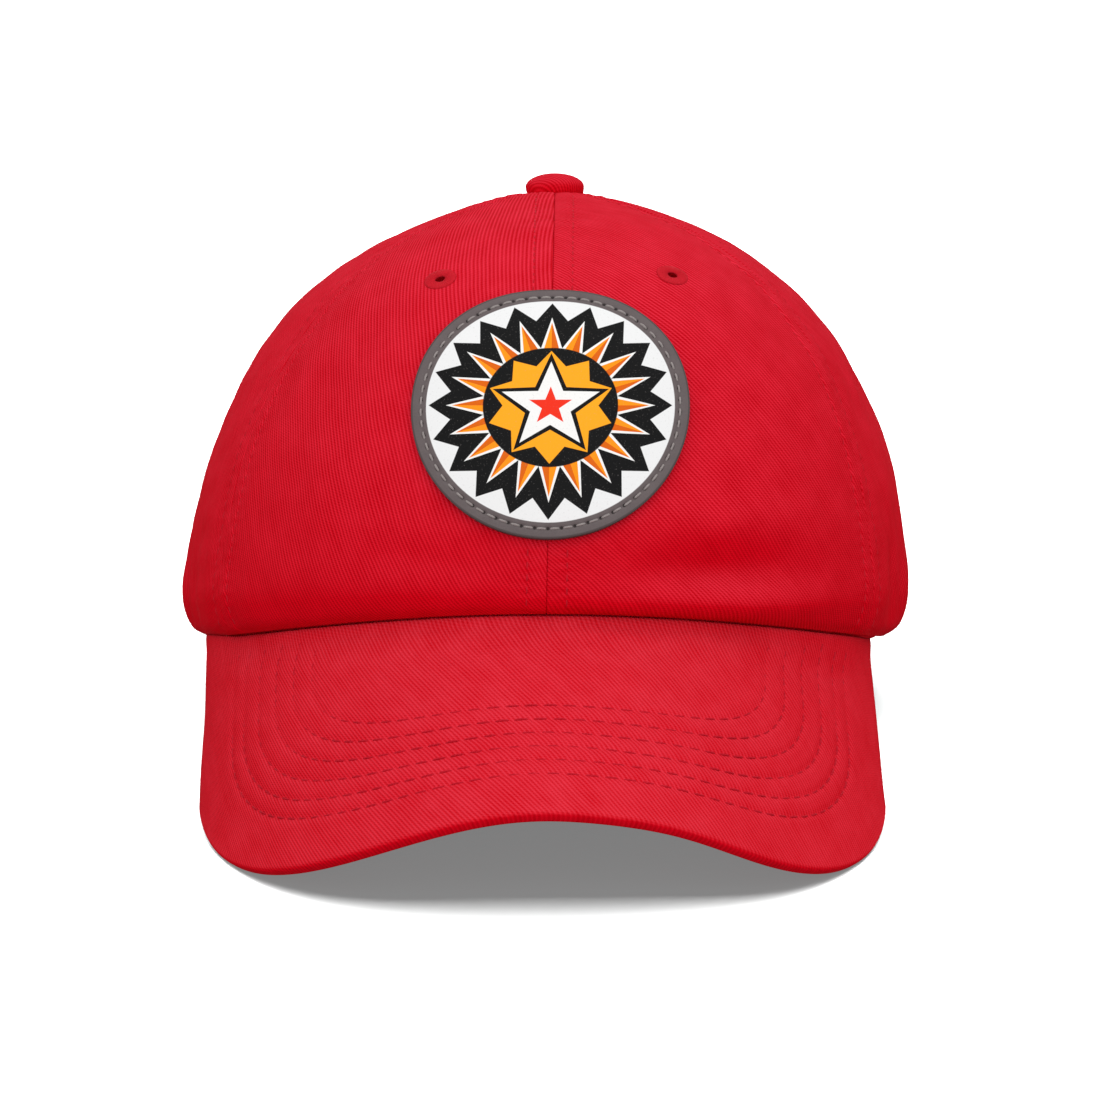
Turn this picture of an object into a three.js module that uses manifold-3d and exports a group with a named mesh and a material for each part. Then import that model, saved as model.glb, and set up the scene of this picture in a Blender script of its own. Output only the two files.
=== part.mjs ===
// Dad hat: six cloth panels, a button, a curved peak, a sweatband, a round leather
// patch and an adjuster strap. Millimetres, +Z up, the peak points along -Y, and the
// hat stands on the two front corners of its peak and on the strap behind.
import * as THREE from "three";
import { mergeVertices } from "three/addons/utils/BufferGeometryUtils.js";
import Module from "manifold-3d";

const wasm = await Module();
wasm.setup();

// Driving dimensions.
const GAP = 0.3;
const CLOTH = 1.4;
const LEAN = 0.02;
const LEAN_FROM_UP = 40;

const FRONT_SEAM = 61;
const BACK_SEAM = 119;
const SEAM_PULL = 0.8;
// How fast seams and folds fade in over the rim and out towards the apex.
const RIM_FADE = 8;
const APEX_FADE = 4;
const APEX_RADIUS = 3;
const APEX_UP = 107.3;

const PEAK_THICKNESS = 3;
const PEAK_SLOPE = 36.7;
const PEAK_ROOT = { out: 96, up: 8.2 };
const PEAK_DEPTH = 66.3;
const PEAK_HALF_WIDTH = 79.2;
const PEAK_SWAY = 0.05;
const PEAK_SWAY_FROM_UP = -36;
const PEAK_ROOT_EASE = 0.2;
const PEAK_ROOT_LONGEST = 1.25;
const PEAK_TEMPLE_THIN = 0.55;
const PEAK_TEMPLE_FROM = 0.75;
const PEAK_EDGE_ROUNDING = 0.06;
const PEAK_BEND = { height: 74, width: 58.3 };
const PEAK_CORNER = { start: 0, across: 2.8, along: 2 };
const PEAK_LIFT = { x: 33, reach: 19, out: 2 };

// Measured along the cloth below it; the patch's own face is 63.5 across.
const PATCH_DIAMETER = 62.3;
const PATCH_THICKNESS = 1.8;
const PATCH_UP = 55;

const BUTTON_RADIUS = 7.1;
const BUTTON_TOP = 112.2;
const SHANK_RADIUS = 2.2;
const SHANK_FOOT = { radius: 5, thickness: 1 };

const EYELET_RADIUS = 4.2;
const EYELET_HOLE = 1.25;
const EYELET_BARREL = 2.3;
const EYELET_FLANGE = 0.9;
const EYELET_INNER_FLANGE = 1;

const SWEATBAND_HEIGHT = 29;
const SWEATBAND_THICKNESS = 1.2;
const SWEATBAND_BELOW = 3;
const SWEATBAND_EASE = 0.5;

const ARCH_HALF_WIDTH = 38;
const ARCH_HEIGHT = 44;
const ARCH_BLOCK = { foot: -10, from: 50, to: 130, curveSteps: 16 };

const STRAP_HEIGHT = 20;
const STRAP_THICKNESS = 1.6;
const STRAP_END = 37;
const STRAP_RISE = 5;
const BUCKLE_AT = 158;
const BUCKLE_LENGTH = 14;
const BUCKLE_WALL = 1;

// How deep the soft edges press into the surface that the hat rests on.
const PRESSED = 0.55;

// The crown's sections from the rim to the apex. Out is the distance from the middle and
// up the height over the rim, at the sides, in front and behind.
const SECTIONS = [
  { at: "rim", sideOut: 82, sideUp: 0, frontOut: 95, frontUp: 8.8, backOut: 95.5, backUp: 0 },
  { at: "roll", sideOut: 86, sideUp: 2.7, frontOut: 98.2, frontUp: 11.4, backOut: 98.6, backUp: 3 },
  { at: "bulge", sideOut: 88, sideUp: 11, frontOut: 99.6, frontUp: 17.5, backOut: 100.4, backUp: 12 },
  { at: "band", sideOut: 86.4, sideUp: 25.5, frontOut: 98.4, frontUp: 28, backOut: 98.6, backUp: 26 },
  { at: "lower", sideOut: 83.3, sideUp: 40.5, frontOut: 94.2, frontUp: 42, backOut: 94.4, backUp: 40.5 },
  { at: "middle", sideOut: 78, sideUp: 55, frontOut: 88.2, frontUp: 56, backOut: 87.6, backUp: 55 },
  { at: "upper", sideOut: 70.5, sideUp: 69.5, frontOut: 80.6, frontUp: 70, backOut: 78.4, backUp: 69.5 },
  { at: "shoulder", sideOut: 59.5, sideUp: 83, frontOut: 70, frontUp: 83.6, backOut: 66, backUp: 83 },
  { at: "top", sideOut: 44.3, sideUp: 94.2, frontOut: 52.5, frontUp: 94.8, backOut: 49, backUp: 94.4 },
  { at: "crest", sideOut: 29, sideUp: 101.3, frontOut: 34, frontUp: 101.6, backOut: 32, backUp: 101.4 },
  { at: "flat", sideOut: 14, sideUp: 105.9, frontOut: 16, frontUp: 106, backOut: 15, backUp: 106 },
  { at: "apex", sideOut: APEX_RADIUS, sideUp: APEX_UP, frontOut: APEX_RADIUS, frontUp: APEX_UP,
    backOut: APEX_RADIUS, backUp: APEX_UP },
];

// Soft dents and folds: where their middle lies, how far they reach to each side and up,
// and how far the cloth comes out (or goes in, below zero).
const FOLDS = [
  { name: "hollow beside the patch", azimuth: 27, up: 18.5, reachRound: 15, reachUp: 5.5, out: -2.6 },
  { name: "ridge over the peak", azimuth: 24, up: 10.5, reachRound: 20, reachUp: 4.5, out: 2 },
  { name: "hollow under the patch", azimuth: -16, up: 21, reachRound: 12, reachUp: 5, out: -0.9 },
  { name: "gather at the right temple", azimuth: 72, up: 13, reachRound: 3.4, reachUp: 13, out: -2 },
  { name: "second gather at the right", azimuth: 82, up: 10, reachRound: 3, reachUp: 10, out: -1.5 },
  { name: "gather at the left temple", azimuth: -76, up: 12, reachRound: 3.4, reachUp: 12, out: -1.3 },
  { name: "dent high on the left", azimuth: -62, up: 72, reachRound: 9, reachUp: 12, out: -0.9 },
  { name: "slack behind on the right", azimuth: 124, up: 24, reachRound: 8, reachUp: 12, out: -1.6 },
  { name: "slack behind on the left", azimuth: -121, up: 30, reachRound: 8, reachUp: 14, out: -1.6 },
];

// Each panel lies between two seams; an eyelet sits high in its middle.
const PANELS = [
  { name: "front_left", from: -FRONT_SEAM, to: 0, eyeletAt: -26.6, eyeletUp: 84.8 },
  { name: "front_right", from: 0, to: FRONT_SEAM, eyeletAt: 29, eyeletUp: 85.8 },
  { name: "side_right", from: FRONT_SEAM, to: BACK_SEAM, eyeletAt: 98, eyeletUp: 84 },
  { name: "side_left", from: -BACK_SEAM, to: -FRONT_SEAM, eyeletAt: -98, eyeletUp: 84 },
  { name: "back_right", from: BACK_SEAM, to: 180, eyeletAt: 150, eyeletUp: 85 },
  { name: "back_left", from: -180, to: -BACK_SEAM, eyeletAt: -150, eyeletUp: 85 },
];

// Mesh density, and the steps in which the front meridian's length is measured.
const MERIDIAN_STEPS = 400;
const PANEL_COLUMNS = 9;
const PANEL_ROWS = 22;
const PEAK_COLUMNS = 32;
const PEAK_ROWS = 9;
const PATCH_SPOKES = 28;
const PATCH_RINGS = 5;
const BAND_COLUMNS = 44;
const BAND_ROWS = 3;
const STRAP_COLUMNS = 18;
const BUCKLE_COLUMNS = 4;
const ROUND_SIDES = 12;

const cloth = new THREE.MeshStandardMaterial({ color: 0xc41f2f, roughness: 0.85, metalness: 0 });
const peakCloth = new THREE.MeshStandardMaterial({ color: 0xd6293a, roughness: 0.85, metalness: 0 });
const thread = new THREE.MeshStandardMaterial({ color: 0xb51626, roughness: 0.7, metalness: 0 });
const leather = new THREE.MeshStandardMaterial({ color: 0x726867, roughness: 0.6, metalness: 0 });
const metal = new THREE.MeshStandardMaterial({ color: 0x9a8f7c, roughness: 0.4, metalness: 0.9 });

const radians = THREE.MathUtils.degToRad;

// The three meridians of the crown, each a smooth curve through its sections.
function meridian(out, up) {
  const points = SECTIONS.map((row) => new THREE.Vector3(row[out], row[up], 0));
  return new THREE.CatmullRomCurve3(points, false, "catmullrom", 0.5);
}
const sideLine = meridian("sideOut", "sideUp");
const frontLine = meridian("frontOut", "frontUp");
const backLine = meridian("backOut", "backUp");

// The crown before its folds: azimuth 0 is the middle of the front, height runs 0 to 1.
function crownBase(azimuth, height) {
  const angle = radians(azimuth);
  const side = sideLine.getPoint(height);
  const end = (Math.cos(angle) > 0 ? frontLine : backLine).getPoint(height);
  const sideShare = Math.sin(angle) ** 2;
  return new THREE.Vector3(
    side.x * Math.sin(angle),
    -end.x * Math.cos(angle),
    side.y * sideShare + end.y * (1 - sideShare),
  );
}

// The way out of the crown at a place on it, from small steps round it and up it.
function crownNormal(azimuth, height) {
  const step = { round: 1, up: 0.004 };
  const low = Math.max(height - step.up, 0);
  const high = Math.min(height + step.up, 1);
  const round = crownBase(azimuth + step.round, height).sub(crownBase(azimuth - step.round, height));
  const rise = crownBase(azimuth, high).sub(crownBase(azimuth, low));
  return round.cross(rise).normalize();
}

// How far the seams draw the cloth in: not at all in the middle of a panel.
function seamPull(azimuth) {
  const panel = PANELS.find((one) => azimuth >= one.from && azimuth <= one.to);
  const across = (azimuth - panel.from) / (panel.to - panel.from);
  return SEAM_PULL * (1 - Math.sin(Math.PI * across));
}

function foldsAt(azimuth, up) {
  return FOLDS.reduce((sum, fold) => {
    const round = (azimuth - fold.azimuth) / fold.reachRound;
    const rise = (up - fold.up) / fold.reachUp;
    return sum + fold.out * Math.exp(-round * round - rise * rise);
  }, 0);
}

// The crown's cloth: depth 0 is its outer face. Seams and folds fade out at the rim and
// at the apex, where the cloth is held.
function crownPoint(azimuth, height, depth) {
  const point = crownBase(azimuth, height);
  const soft = Math.min(1, height * RIM_FADE, (1 - height) * APEX_FADE);
  const out = (foldsAt(azimuth, point.z) - seamPull(azimuth)) * soft - depth;
  return point.addScaledVector(crownNormal(azimuth, height), out);
}

// The whole hat leans a little to one side.
function lean(point) {
  point.x += LEAN * (point.z - LEAN_FROM_UP);
  return point;
}

// The height parameter at which the crown reaches a given height over the rim.
function heightAt(azimuth, up) {
  let low = 0;
  let high = 1;
  for (let step = 0; step < 30; step += 1) {
    const middle = (low + high) / 2;
    if (crownBase(azimuth, middle).z < up) {
      low = middle;
    } else {
      high = middle;
    }
  }
  return (low + high) / 2;
}

// The line where the crown meets the peak and the sweatband: the rim, moved in or out.
function rimPoint(azimuth, outward, upward) {
  const point = crownBase(azimuth, 0);
  const angle = radians(azimuth);
  point.x += outward * Math.sin(angle);
  point.y -= outward * Math.cos(angle);
  point.z += upward;
  return point;
}

// The peak's bend: how far its board drops at a distance from its middle line.
function peakSag(x) {
  return PEAK_BEND.height * (Math.hypot(1, x / PEAK_BEND.width) - 1);
}

// The peak's front edge: how far forward it reaches at a distance from its middle line.
function peakReach(x) {
  const { start, across, along } = PEAK_CORNER;
  const share = Math.max(0, 1 - Math.abs(x / PEAK_HALF_WIDTH) ** across);
  return start + (PEAK_DEPTH - start) * share ** (1 / along);
}

function peakEdge(x) {
  const slope = radians(PEAK_SLOPE);
  const reach = peakReach(x);
  const sag = peakSag(x);
  return new THREE.Vector3(
    x,
    -PEAK_ROOT.out - Math.cos(slope) * reach + Math.sin(slope) * sag,
    PEAK_ROOT.up - Math.sin(slope) * reach - Math.cos(slope) * sag,
  );
}

// The peak's root lies just under the rim and just outside the sweatband.
function peakRoot(x) {
  const azimuth = THREE.MathUtils.radToDeg(Math.asin(x / SECTIONS[0].sideOut));
  return rimPoint(azimuth, -CLOTH, -GAP);
}

// The peak's upper face is ruled from its root to its front edge, which bows up a
// little on one side.
function peakTop(x, forward) {
  const root = peakRoot(x);
  root.x = x;
  const edge = peakEdge(x);
  edge.z += PEAK_LIFT.out * Math.exp(-(((x - PEAK_LIFT.x) / PEAK_LIFT.reach) ** 2));
  return root.lerp(edge, forward);
}

function peakNormal(x, forward) {
  const step = 0.4;
  const inside = THREE.MathUtils.clamp(x, step - PEAK_HALF_WIDTH, PEAK_HALF_WIDTH - step);
  const across = peakTop(inside + step, forward).sub(peakTop(inside - step, forward));
  const ahead = peakEdge(inside).sub(peakRoot(inside));
  return across.cross(ahead).normalize().negate();
}

// A point below the peak's upper face. The board's root is cut upright, so that it
// clears the sweatband, and it is thinner where it tucks in at the temples.
function peakPoint(x, forward, depth) {
  const square = THREE.MathUtils.smoothstep(forward, 0, PEAK_ROOT_EASE);
  const temple = THREE.MathUtils.smoothstep(Math.abs(x / PEAK_HALF_WIDTH), PEAK_TEMPLE_FROM, 1);
  const thick = 1 - PEAK_TEMPLE_THIN * temple * (1 - square);
  const normal = peakNormal(x, forward);
  const upright = new THREE.Vector3(0, 0, Math.min(1 / normal.z, PEAK_ROOT_LONGEST));
  const point = peakTop(x, forward).addScaledVector(upright.lerp(normal, square), -depth * thick);
  point.x += PEAK_SWAY * (PEAK_SWAY_FROM_UP - point.z) * square;
  return point;
}

// The peak's bottom corners and the strap behind set how the hat tilts where it rests.
const STRAP_INWARD = CLOTH + GAP;
const REST_BACK = SECTIONS[0].backOut - STRAP_INWARD;
function restAngle() {
  const places = 60;
  let steepest = 0;
  for (let place = 0; place <= places; place += 1) {
    const corner = peakPoint((PEAK_HALF_WIDTH * place) / places, 1, PEAK_THICKNESS);
    steepest = Math.max(steepest, Math.atan2(-corner.z, REST_BACK - corner.y));
  }
  return steepest;
}
const REST_ANGLE = restAngle();
const REST_UP = REST_BACK * Math.sin(REST_ANGLE) - PRESSED;

// Turns a point of the level hat into its place at rest, with soft edges pressed flat.
const restTurn = new THREE.Matrix4().makeRotationX(-REST_ANGLE);
function settle(point) {
  lean(point).applyMatrix4(restTurn);
  point.z = Math.max(point.z + REST_UP, 0);
  return point;
}

// A closed wall between two faces, each a function of across and along from 0 to 1.
function wall(columns, rows, face, back) {
  const positions = [];
  const stride = columns + 1;
  [face, back].forEach((side) => {
    for (let row = 0; row <= rows; row += 1) {
      for (let column = 0; column <= columns; column += 1) {
        positions.push(...side(column / columns, row / rows).toArray());
      }
    }
  });
  const layer = stride * (rows + 1);
  const index = [];
  const quad = (a, b, c, d) => index.push(a, b, c, a, c, d);
  for (let row = 0; row < rows; row += 1) {
    for (let column = 0; column < columns; column += 1) {
      const a = row * stride + column;
      const b = a + 1;
      const c = b + stride;
      const d = a + stride;
      quad(a, b, c, d);
      quad(layer + d, layer + c, layer + b, layer + a);
    }
  }
  for (let column = 0; column < columns; column += 1) {
    const low = column;
    const high = rows * stride + column;
    quad(low + 1, low, layer + low, layer + low + 1);
    quad(high, high + 1, layer + high + 1, layer + high);
  }
  for (let row = 0; row < rows; row += 1) {
    const left = row * stride;
    const right = left + columns;
    quad(left, left + stride, layer + left + stride, layer + left);
    quad(right + stride, right, layer + right, layer + right + stride);
  }
  return facingOut(positions, index);
}

// Builds the geometry and turns all its faces if its volume comes out negative.
function facingOut(positions, index) {
  const geometry = new THREE.BufferGeometry();
  geometry.setAttribute("position", new THREE.Float32BufferAttribute(positions, 3));
  const corner = [new THREE.Vector3(), new THREE.Vector3(), new THREE.Vector3()];
  let volume = 0;
  for (let at = 0; at < index.length; at += 3) {
    corner.forEach((one, k) => one.fromArray(positions, index[at + k] * 3));
    volume += corner[0].dot(corner[1].clone().cross(corner[2]));
  }
  geometry.setIndex(volume < 0 ? index.toReversed() : index);
  return geometry;
}

// Boolean cuts, between closed solids in both directions.
function toSolid(geometry) {
  const bare = geometry.clone();
  bare.deleteAttribute("normal");
  bare.deleteAttribute("uv");
  const merged = mergeVertices(bare, 1e-4);
  return new wasm.Manifold(new wasm.Mesh({
    numProp: 3,
    vertProperties: new Float32Array(merged.attributes.position.array),
    triVerts: new Uint32Array(merged.index.array),
  }));
}

function cut(geometry, ...tools) {
  const left = tools.reduce((solid, tool) => solid.subtract(toSolid(tool)), toSolid(geometry));
  const mesh = left.getMesh();
  const result = new THREE.BufferGeometry();
  result.setAttribute("position", new THREE.BufferAttribute(mesh.vertProperties, 3));
  result.setIndex(new THREE.BufferAttribute(mesh.triVerts, 1));
  return result;
}

// A place on the crown with its outward direction as the frame's +Y.
function crownFrame(azimuth, up, outward) {
  const height = heightAt(azimuth, up);
  const normal = crownNormal(azimuth, height);
  const place = lean(crownPoint(azimuth, height, -outward));
  const turn = new THREE.Quaternion().setFromUnitVectors(new THREE.Vector3(0, 1, 0), normal);
  return new THREE.Matrix4().compose(place, turn, new THREE.Vector3(1, 1, 1));
}

// Sets a finished level geometry into its place at rest without pressing it flat.
function stand(geometry) {
  geometry.applyMatrix4(restTurn);
  geometry.translate(0, 0, REST_UP);
  return geometry;
}

function eyeletBore(panel) {
  const radius = EYELET_BARREL + GAP;
  const bore = new THREE.CylinderGeometry(radius, radius, 5 * CLOTH, ROUND_SIDES);
  return stand(bore.applyMatrix4(crownFrame(panel.eyeletAt, panel.eyeletUp, -CLOTH / 2)));
}

// The arched opening behind: a round-topped block across the back of the crown.
function archBlock() {
  const outline = new THREE.Shape();
  const { foot, from, to, curveSteps } = ARCH_BLOCK;
  const spring = ARCH_HEIGHT - ARCH_HALF_WIDTH;
  outline.moveTo(-ARCH_HALF_WIDTH, foot);
  outline.lineTo(ARCH_HALF_WIDTH, foot);
  outline.absarc(0, spring, ARCH_HALF_WIDTH, 0, Math.PI, false);
  outline.lineTo(-ARCH_HALF_WIDTH, foot);
  const extrusion = { depth: to - from, bevelEnabled: false, curveSegments: curveSteps };
  const block = new THREE.ExtrudeGeometry(outline, extrusion);
  block.rotateX(Math.PI / 2);
  block.translate(LEAN * (ARCH_HEIGHT / 2 - LEAN_FROM_UP), to, 0);
  return stand(block);
}

function crownPanel(panel) {
  const face = (depth) => (across, along) => {
    const round = sideLine.getPoint(along).x;
    const margin = THREE.MathUtils.radToDeg(GAP / 2 / round);
    const azimuth = THREE.MathUtils.lerp(panel.from + margin, panel.to - margin, across);
    return settle(crownPoint(azimuth, along, depth));
  };
  const tools = [eyeletBore(panel)];
  if (panel.name.startsWith("back")) {
    tools.push(archBlock());
  }
  return cut(wall(PANEL_COLUMNS, PANEL_ROWS, face(0), face(CLOTH)), ...tools);
}

// The sewn ring round an eyelet: a flange outside, a barrel and a small flange inside.
function eyelet(panel) {
  const outside = CLOTH / 2 + 1.6 * GAP;
  const top = outside + EYELET_FLANGE;
  const inner = EYELET_BARREL + EYELET_INNER_FLANGE;
  const profile = [
    [EYELET_HOLE, -top],
    [inner, -top],
    [inner, -outside],
    [EYELET_BARREL, -outside],
    [EYELET_BARREL, outside],
    [EYELET_RADIUS, outside],
    [0.9 * EYELET_RADIUS, (outside + 3 * top) / 4],
    [(EYELET_RADIUS + EYELET_HOLE) / 2, top],
    [EYELET_HOLE, (outside + 2 * top) / 3],
    [EYELET_HOLE, -top],
  ].map(([radius, up]) => new THREE.Vector2(radius, up));
  const ring = new THREE.LatheGeometry(profile, ROUND_SIDES);
  return stand(ring.applyMatrix4(crownFrame(panel.eyeletAt, panel.eyeletUp, -CLOTH / 2)));
}

// The covered button: a low dome, a shank through the apex and a foot inside.
function button() {
  const under = APEX_UP + GAP;
  const inside = APEX_UP - CLOTH - 2 * GAP;
  const rise = BUTTON_TOP - under;
  const profile = [
    [0, inside - SHANK_FOOT.thickness],
    [SHANK_FOOT.radius, inside - SHANK_FOOT.thickness],
    [SHANK_FOOT.radius, inside],
    [SHANK_RADIUS, inside],
    [SHANK_RADIUS, under],
    [0.92 * BUTTON_RADIUS, under],
    [BUTTON_RADIUS, under + 0.2 * rise],
    [0.9 * BUTTON_RADIUS, under + 0.52 * rise],
    [0.68 * BUTTON_RADIUS, under + 0.8 * rise],
    [0.36 * BUTTON_RADIUS, under + 0.95 * rise],
    [0, BUTTON_TOP],
  ].map(([radius, up]) => new THREE.Vector2(radius, up));
  const turned = new THREE.LatheGeometry(profile, 2 * ROUND_SIDES);
  turned.rotateX(Math.PI / 2);
  turned.translate(LEAN * (APEX_UP - LEAN_FROM_UP), 0, 0);
  return stand(turned);
}

// The peak: its edge is rounded by thinning the board over its last stretch, where its
// rows lie closer together.
function peak() {
  const crowding = 1.6;
  const thinning = 0.75;
  const middle = PEAK_THICKNESS / 2;
  const face = (side) => (across, along) => {
    const x = PEAK_HALF_WIDTH * Math.sin(Math.PI * (across - 0.5));
    const forward = 1 - (1 - along) ** crowding;
    const edge = Math.max(0, 1 - (1 - forward) / PEAK_EDGE_ROUNDING);
    const half = middle * Math.sqrt(1 - thinning * edge * edge);
    return settle(peakPoint(x, forward, middle + side * half));
  };
  return wall(PEAK_COLUMNS, PEAK_ROWS, face(-1), face(1));
}

// The sweatband: a straight strip from just inside the rim up to the crown's inner face.
// It hides the peak's root in front and stops where the strap's ends are sewn in behind.
function sweatband() {
  const end = 180 - STRAP_END - THREE.MathUtils.radToDeg(2 * GAP / SECTIONS[0].backOut);
  const face = (depth) => (across, along) => {
    const azimuth = THREE.MathUtils.lerp(-end, end, across);
    const inward = CLOTH + GAP + depth;
    const below = SWEATBAND_BELOW * Math.max(0, Math.cos(radians(azimuth)));
    const foot = rimPoint(azimuth, -inward, GAP - below);
    const topHeight = heightAt(azimuth, crownBase(azimuth, 0).z + SWEATBAND_HEIGHT);
    return settle(foot.lerp(crownPoint(azimuth, topHeight, inward + SWEATBAND_EASE), along));
  };
  return wall(BAND_COLUMNS, BAND_ROWS, face(0), face(SWEATBAND_THICKNESS));
}

// A stretch of band along the rim behind, between two azimuths measured the long way.
// It hangs lowest in the middle of the opening.
function backBand(from, to, columns, inward, thickness, low, high) {
  const face = (depth) => (across, along) => {
    const azimuth = THREE.MathUtils.lerp(from, to, across);
    const rise = STRAP_RISE * ((azimuth - 180) / STRAP_END) ** 2;
    return settle(rimPoint(azimuth, -inward - depth, rise + THREE.MathUtils.lerp(low, high, along)));
  };
  return wall(columns, 2, face(0), face(thickness));
}

function backStrap() {
  const from = 180 - STRAP_END;
  const to = 180 + STRAP_END;
  return backBand(from, to, STRAP_COLUMNS, STRAP_INWARD, STRAP_THICKNESS, 0, STRAP_HEIGHT);
}

// The buckle is a sleeve round the strap, bent like it.
function buckle() {
  const turn = THREE.MathUtils.radToDeg(BUCKLE_LENGTH / 2 / SECTIONS[0].backOut);
  const shell = GAP + BUCKLE_WALL;
  const sleeve = (extra, reach) => backBand(
    BUCKLE_AT - reach,
    BUCKLE_AT + reach,
    BUCKLE_COLUMNS,
    STRAP_INWARD - extra,
    STRAP_THICKNESS + 2 * extra,
    -extra,
    STRAP_HEIGHT + extra,
  );
  return cut(sleeve(shell, turn), sleeve(GAP, 2 * turn));
}

// The patch lies on the crown: distances over the front are measured along the cloth.
function patchPlace(right, up) {
  const middle = heightAt(0, PATCH_UP);
  const length = meridianLengthTo(middle) + up;
  const height = heightForLength(length);
  const azimuth = THREE.MathUtils.radToDeg(right / sideLine.getPoint(height).x);
  return { azimuth, height };
}

const frontLengths = frontLine.getPoints(MERIDIAN_STEPS).reduce((sums, point, k, all) => {
  sums.push(k === 0 ? 0 : sums[k - 1] + point.distanceTo(all[k - 1]));
  return sums;
}, []);
function meridianLengthTo(height) {
  return frontLengths[Math.round(height * MERIDIAN_STEPS)];
}
function heightForLength(length) {
  const above = frontLengths.findIndex((sum) => sum >= length);
  const share = (length - frontLengths[above - 1]) / (frontLengths[above] - frontLengths[above - 1]);
  return (above - 1 + share) / MERIDIAN_STEPS;
}

function patch() {
  const face = (lift) => (across, along) => {
    const turn = 2 * Math.PI * across;
    const radius = (PATCH_DIAMETER / 2) * along;
    const { azimuth, height } = patchPlace(radius * Math.sin(turn), radius * Math.cos(turn));
    return settle(crownPoint(azimuth, height, -lift));
  };
  return disc(face(GAP + PATCH_THICKNESS), face(GAP));
}

// A closed round plate: both faces are fans and rings that meet at the edge.
function disc(face, back) {
  const positions = [];
  [face, back].forEach((side) => {
    positions.push(...side(0, 0).toArray());
    for (let ring = 1; ring <= PATCH_RINGS; ring += 1) {
      for (let spoke = 0; spoke < PATCH_SPOKES; spoke += 1) {
        positions.push(...side(spoke / PATCH_SPOKES, ring / PATCH_RINGS).toArray());
      }
    }
  });
  const layer = 1 + PATCH_RINGS * PATCH_SPOKES;
  const at = (ring, spoke) => (ring === 0 ? 0 : 1 + (ring - 1) * PATCH_SPOKES + (spoke % PATCH_SPOKES));
  const index = [];
  for (let spoke = 0; spoke < PATCH_SPOKES; spoke += 1) {
    index.push(0, at(1, spoke), at(1, spoke + 1));
    index.push(layer, layer + at(1, spoke + 1), layer + at(1, spoke));
    for (let ring = 1; ring < PATCH_RINGS; ring += 1) {
      const a = at(ring, spoke);
      const b = at(ring, spoke + 1);
      const c = at(ring + 1, spoke + 1);
      const d = at(ring + 1, spoke);
      index.push(a, d, c, a, c, b);
      index.push(layer + a, layer + c, layer + d, layer + a, layer + b, layer + c);
    }
    const rim = at(PATCH_RINGS, spoke);
    const next = at(PATCH_RINGS, spoke + 1);
    index.push(rim, layer + rim, layer + next, rim, layer + next, next);
  }
  return facingOut(positions, index);
}

function add(group, name, geometry, material) {
  const mesh = new THREE.Mesh(geometry, material);
  mesh.name = name;
  group.add(mesh);
}

const hat = new THREE.Group();
PANELS.forEach((panel) => {
  add(hat, `${panel.name}_panel`, crownPanel(panel), cloth);
  add(hat, `${panel.name}_eyelet`, eyelet(panel), thread);
});
add(hat, "button", button(), cloth);
add(hat, "peak", peak(), peakCloth);
add(hat, "sweatband", sweatband(), cloth);
add(hat, "patch", patch(), leather);
add(hat, "back_strap", backStrap(), cloth);
add(hat, "buckle", buckle(), metal);

// The origin lies on the surface below the middle of the hat's box.
const middle = new THREE.Box3().setFromObject(hat).getCenter(new THREE.Vector3());
hat.position.set(-middle.x, -middle.y, 0);

export default hat;
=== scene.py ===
# %% [markdown]
# # A dad hat, piece by piece
# The real hat is six panels of cotton twill sewn to each other, a covered button where
# they meet, a stiff curved peak, a strip of cloth inside the rim, a round leather patch
# and a strap behind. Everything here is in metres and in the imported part's own frame,
# so that each dressed piece lies where its plain solid lies.

# %% Load the plain parts
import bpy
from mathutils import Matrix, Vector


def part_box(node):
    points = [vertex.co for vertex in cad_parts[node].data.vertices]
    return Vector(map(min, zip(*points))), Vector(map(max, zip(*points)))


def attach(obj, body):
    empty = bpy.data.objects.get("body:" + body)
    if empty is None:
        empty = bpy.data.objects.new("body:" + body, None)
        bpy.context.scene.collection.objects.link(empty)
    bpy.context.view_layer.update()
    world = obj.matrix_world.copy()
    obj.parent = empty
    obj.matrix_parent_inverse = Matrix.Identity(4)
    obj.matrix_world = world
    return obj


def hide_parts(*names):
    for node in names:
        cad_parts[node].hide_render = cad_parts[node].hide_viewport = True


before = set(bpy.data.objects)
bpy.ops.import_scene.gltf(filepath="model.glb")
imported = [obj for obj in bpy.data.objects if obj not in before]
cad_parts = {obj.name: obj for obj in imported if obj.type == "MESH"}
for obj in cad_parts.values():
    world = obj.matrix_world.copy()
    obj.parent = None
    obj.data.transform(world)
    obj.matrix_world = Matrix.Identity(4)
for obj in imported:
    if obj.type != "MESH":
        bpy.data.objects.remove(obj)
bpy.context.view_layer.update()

# %% [markdown]
# Most of this hat is thin cloth on a curved form. Such cloth is worked out as grids of
# points with numpy, because no primitive has that shape. What a maker would turn or
# mould, such as the button, the eyelets and the buckle, is modelled with operators.

# %% Tools for the rest of the lesson
import math

import bpy
import numpy as np
from mathutils import Matrix, Vector, kdtree

MM = 0.001


def linear(code):
    """A colour written as sRGB hex, as the linear values that Blender's sockets take."""
    parts = [int(code[i:i + 2], 16) / 255 for i in (1, 3, 5)]
    turned = [p / 12.92 if p <= 0.04045 else ((p + 0.055) / 1.055) ** 2.4 for p in parts]
    return (*turned, 1.0)


def smooth_step(value, low, high):
    """0 below low, 1 above high, and an even ease between them."""
    share = np.clip((value - low) / (high - low), 0, 1)
    return share * share * (3 - 2 * share)


def unit(vectors):
    """Vectors of length one."""
    return vectors / np.maximum(np.linalg.norm(vectors, axis=-1, keepdims=True), 1e-12)


def bell(value, reach):
    """A hump of height 1 that has mostly gone at reach."""
    return np.exp(-((value / reach) ** 2))


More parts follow.
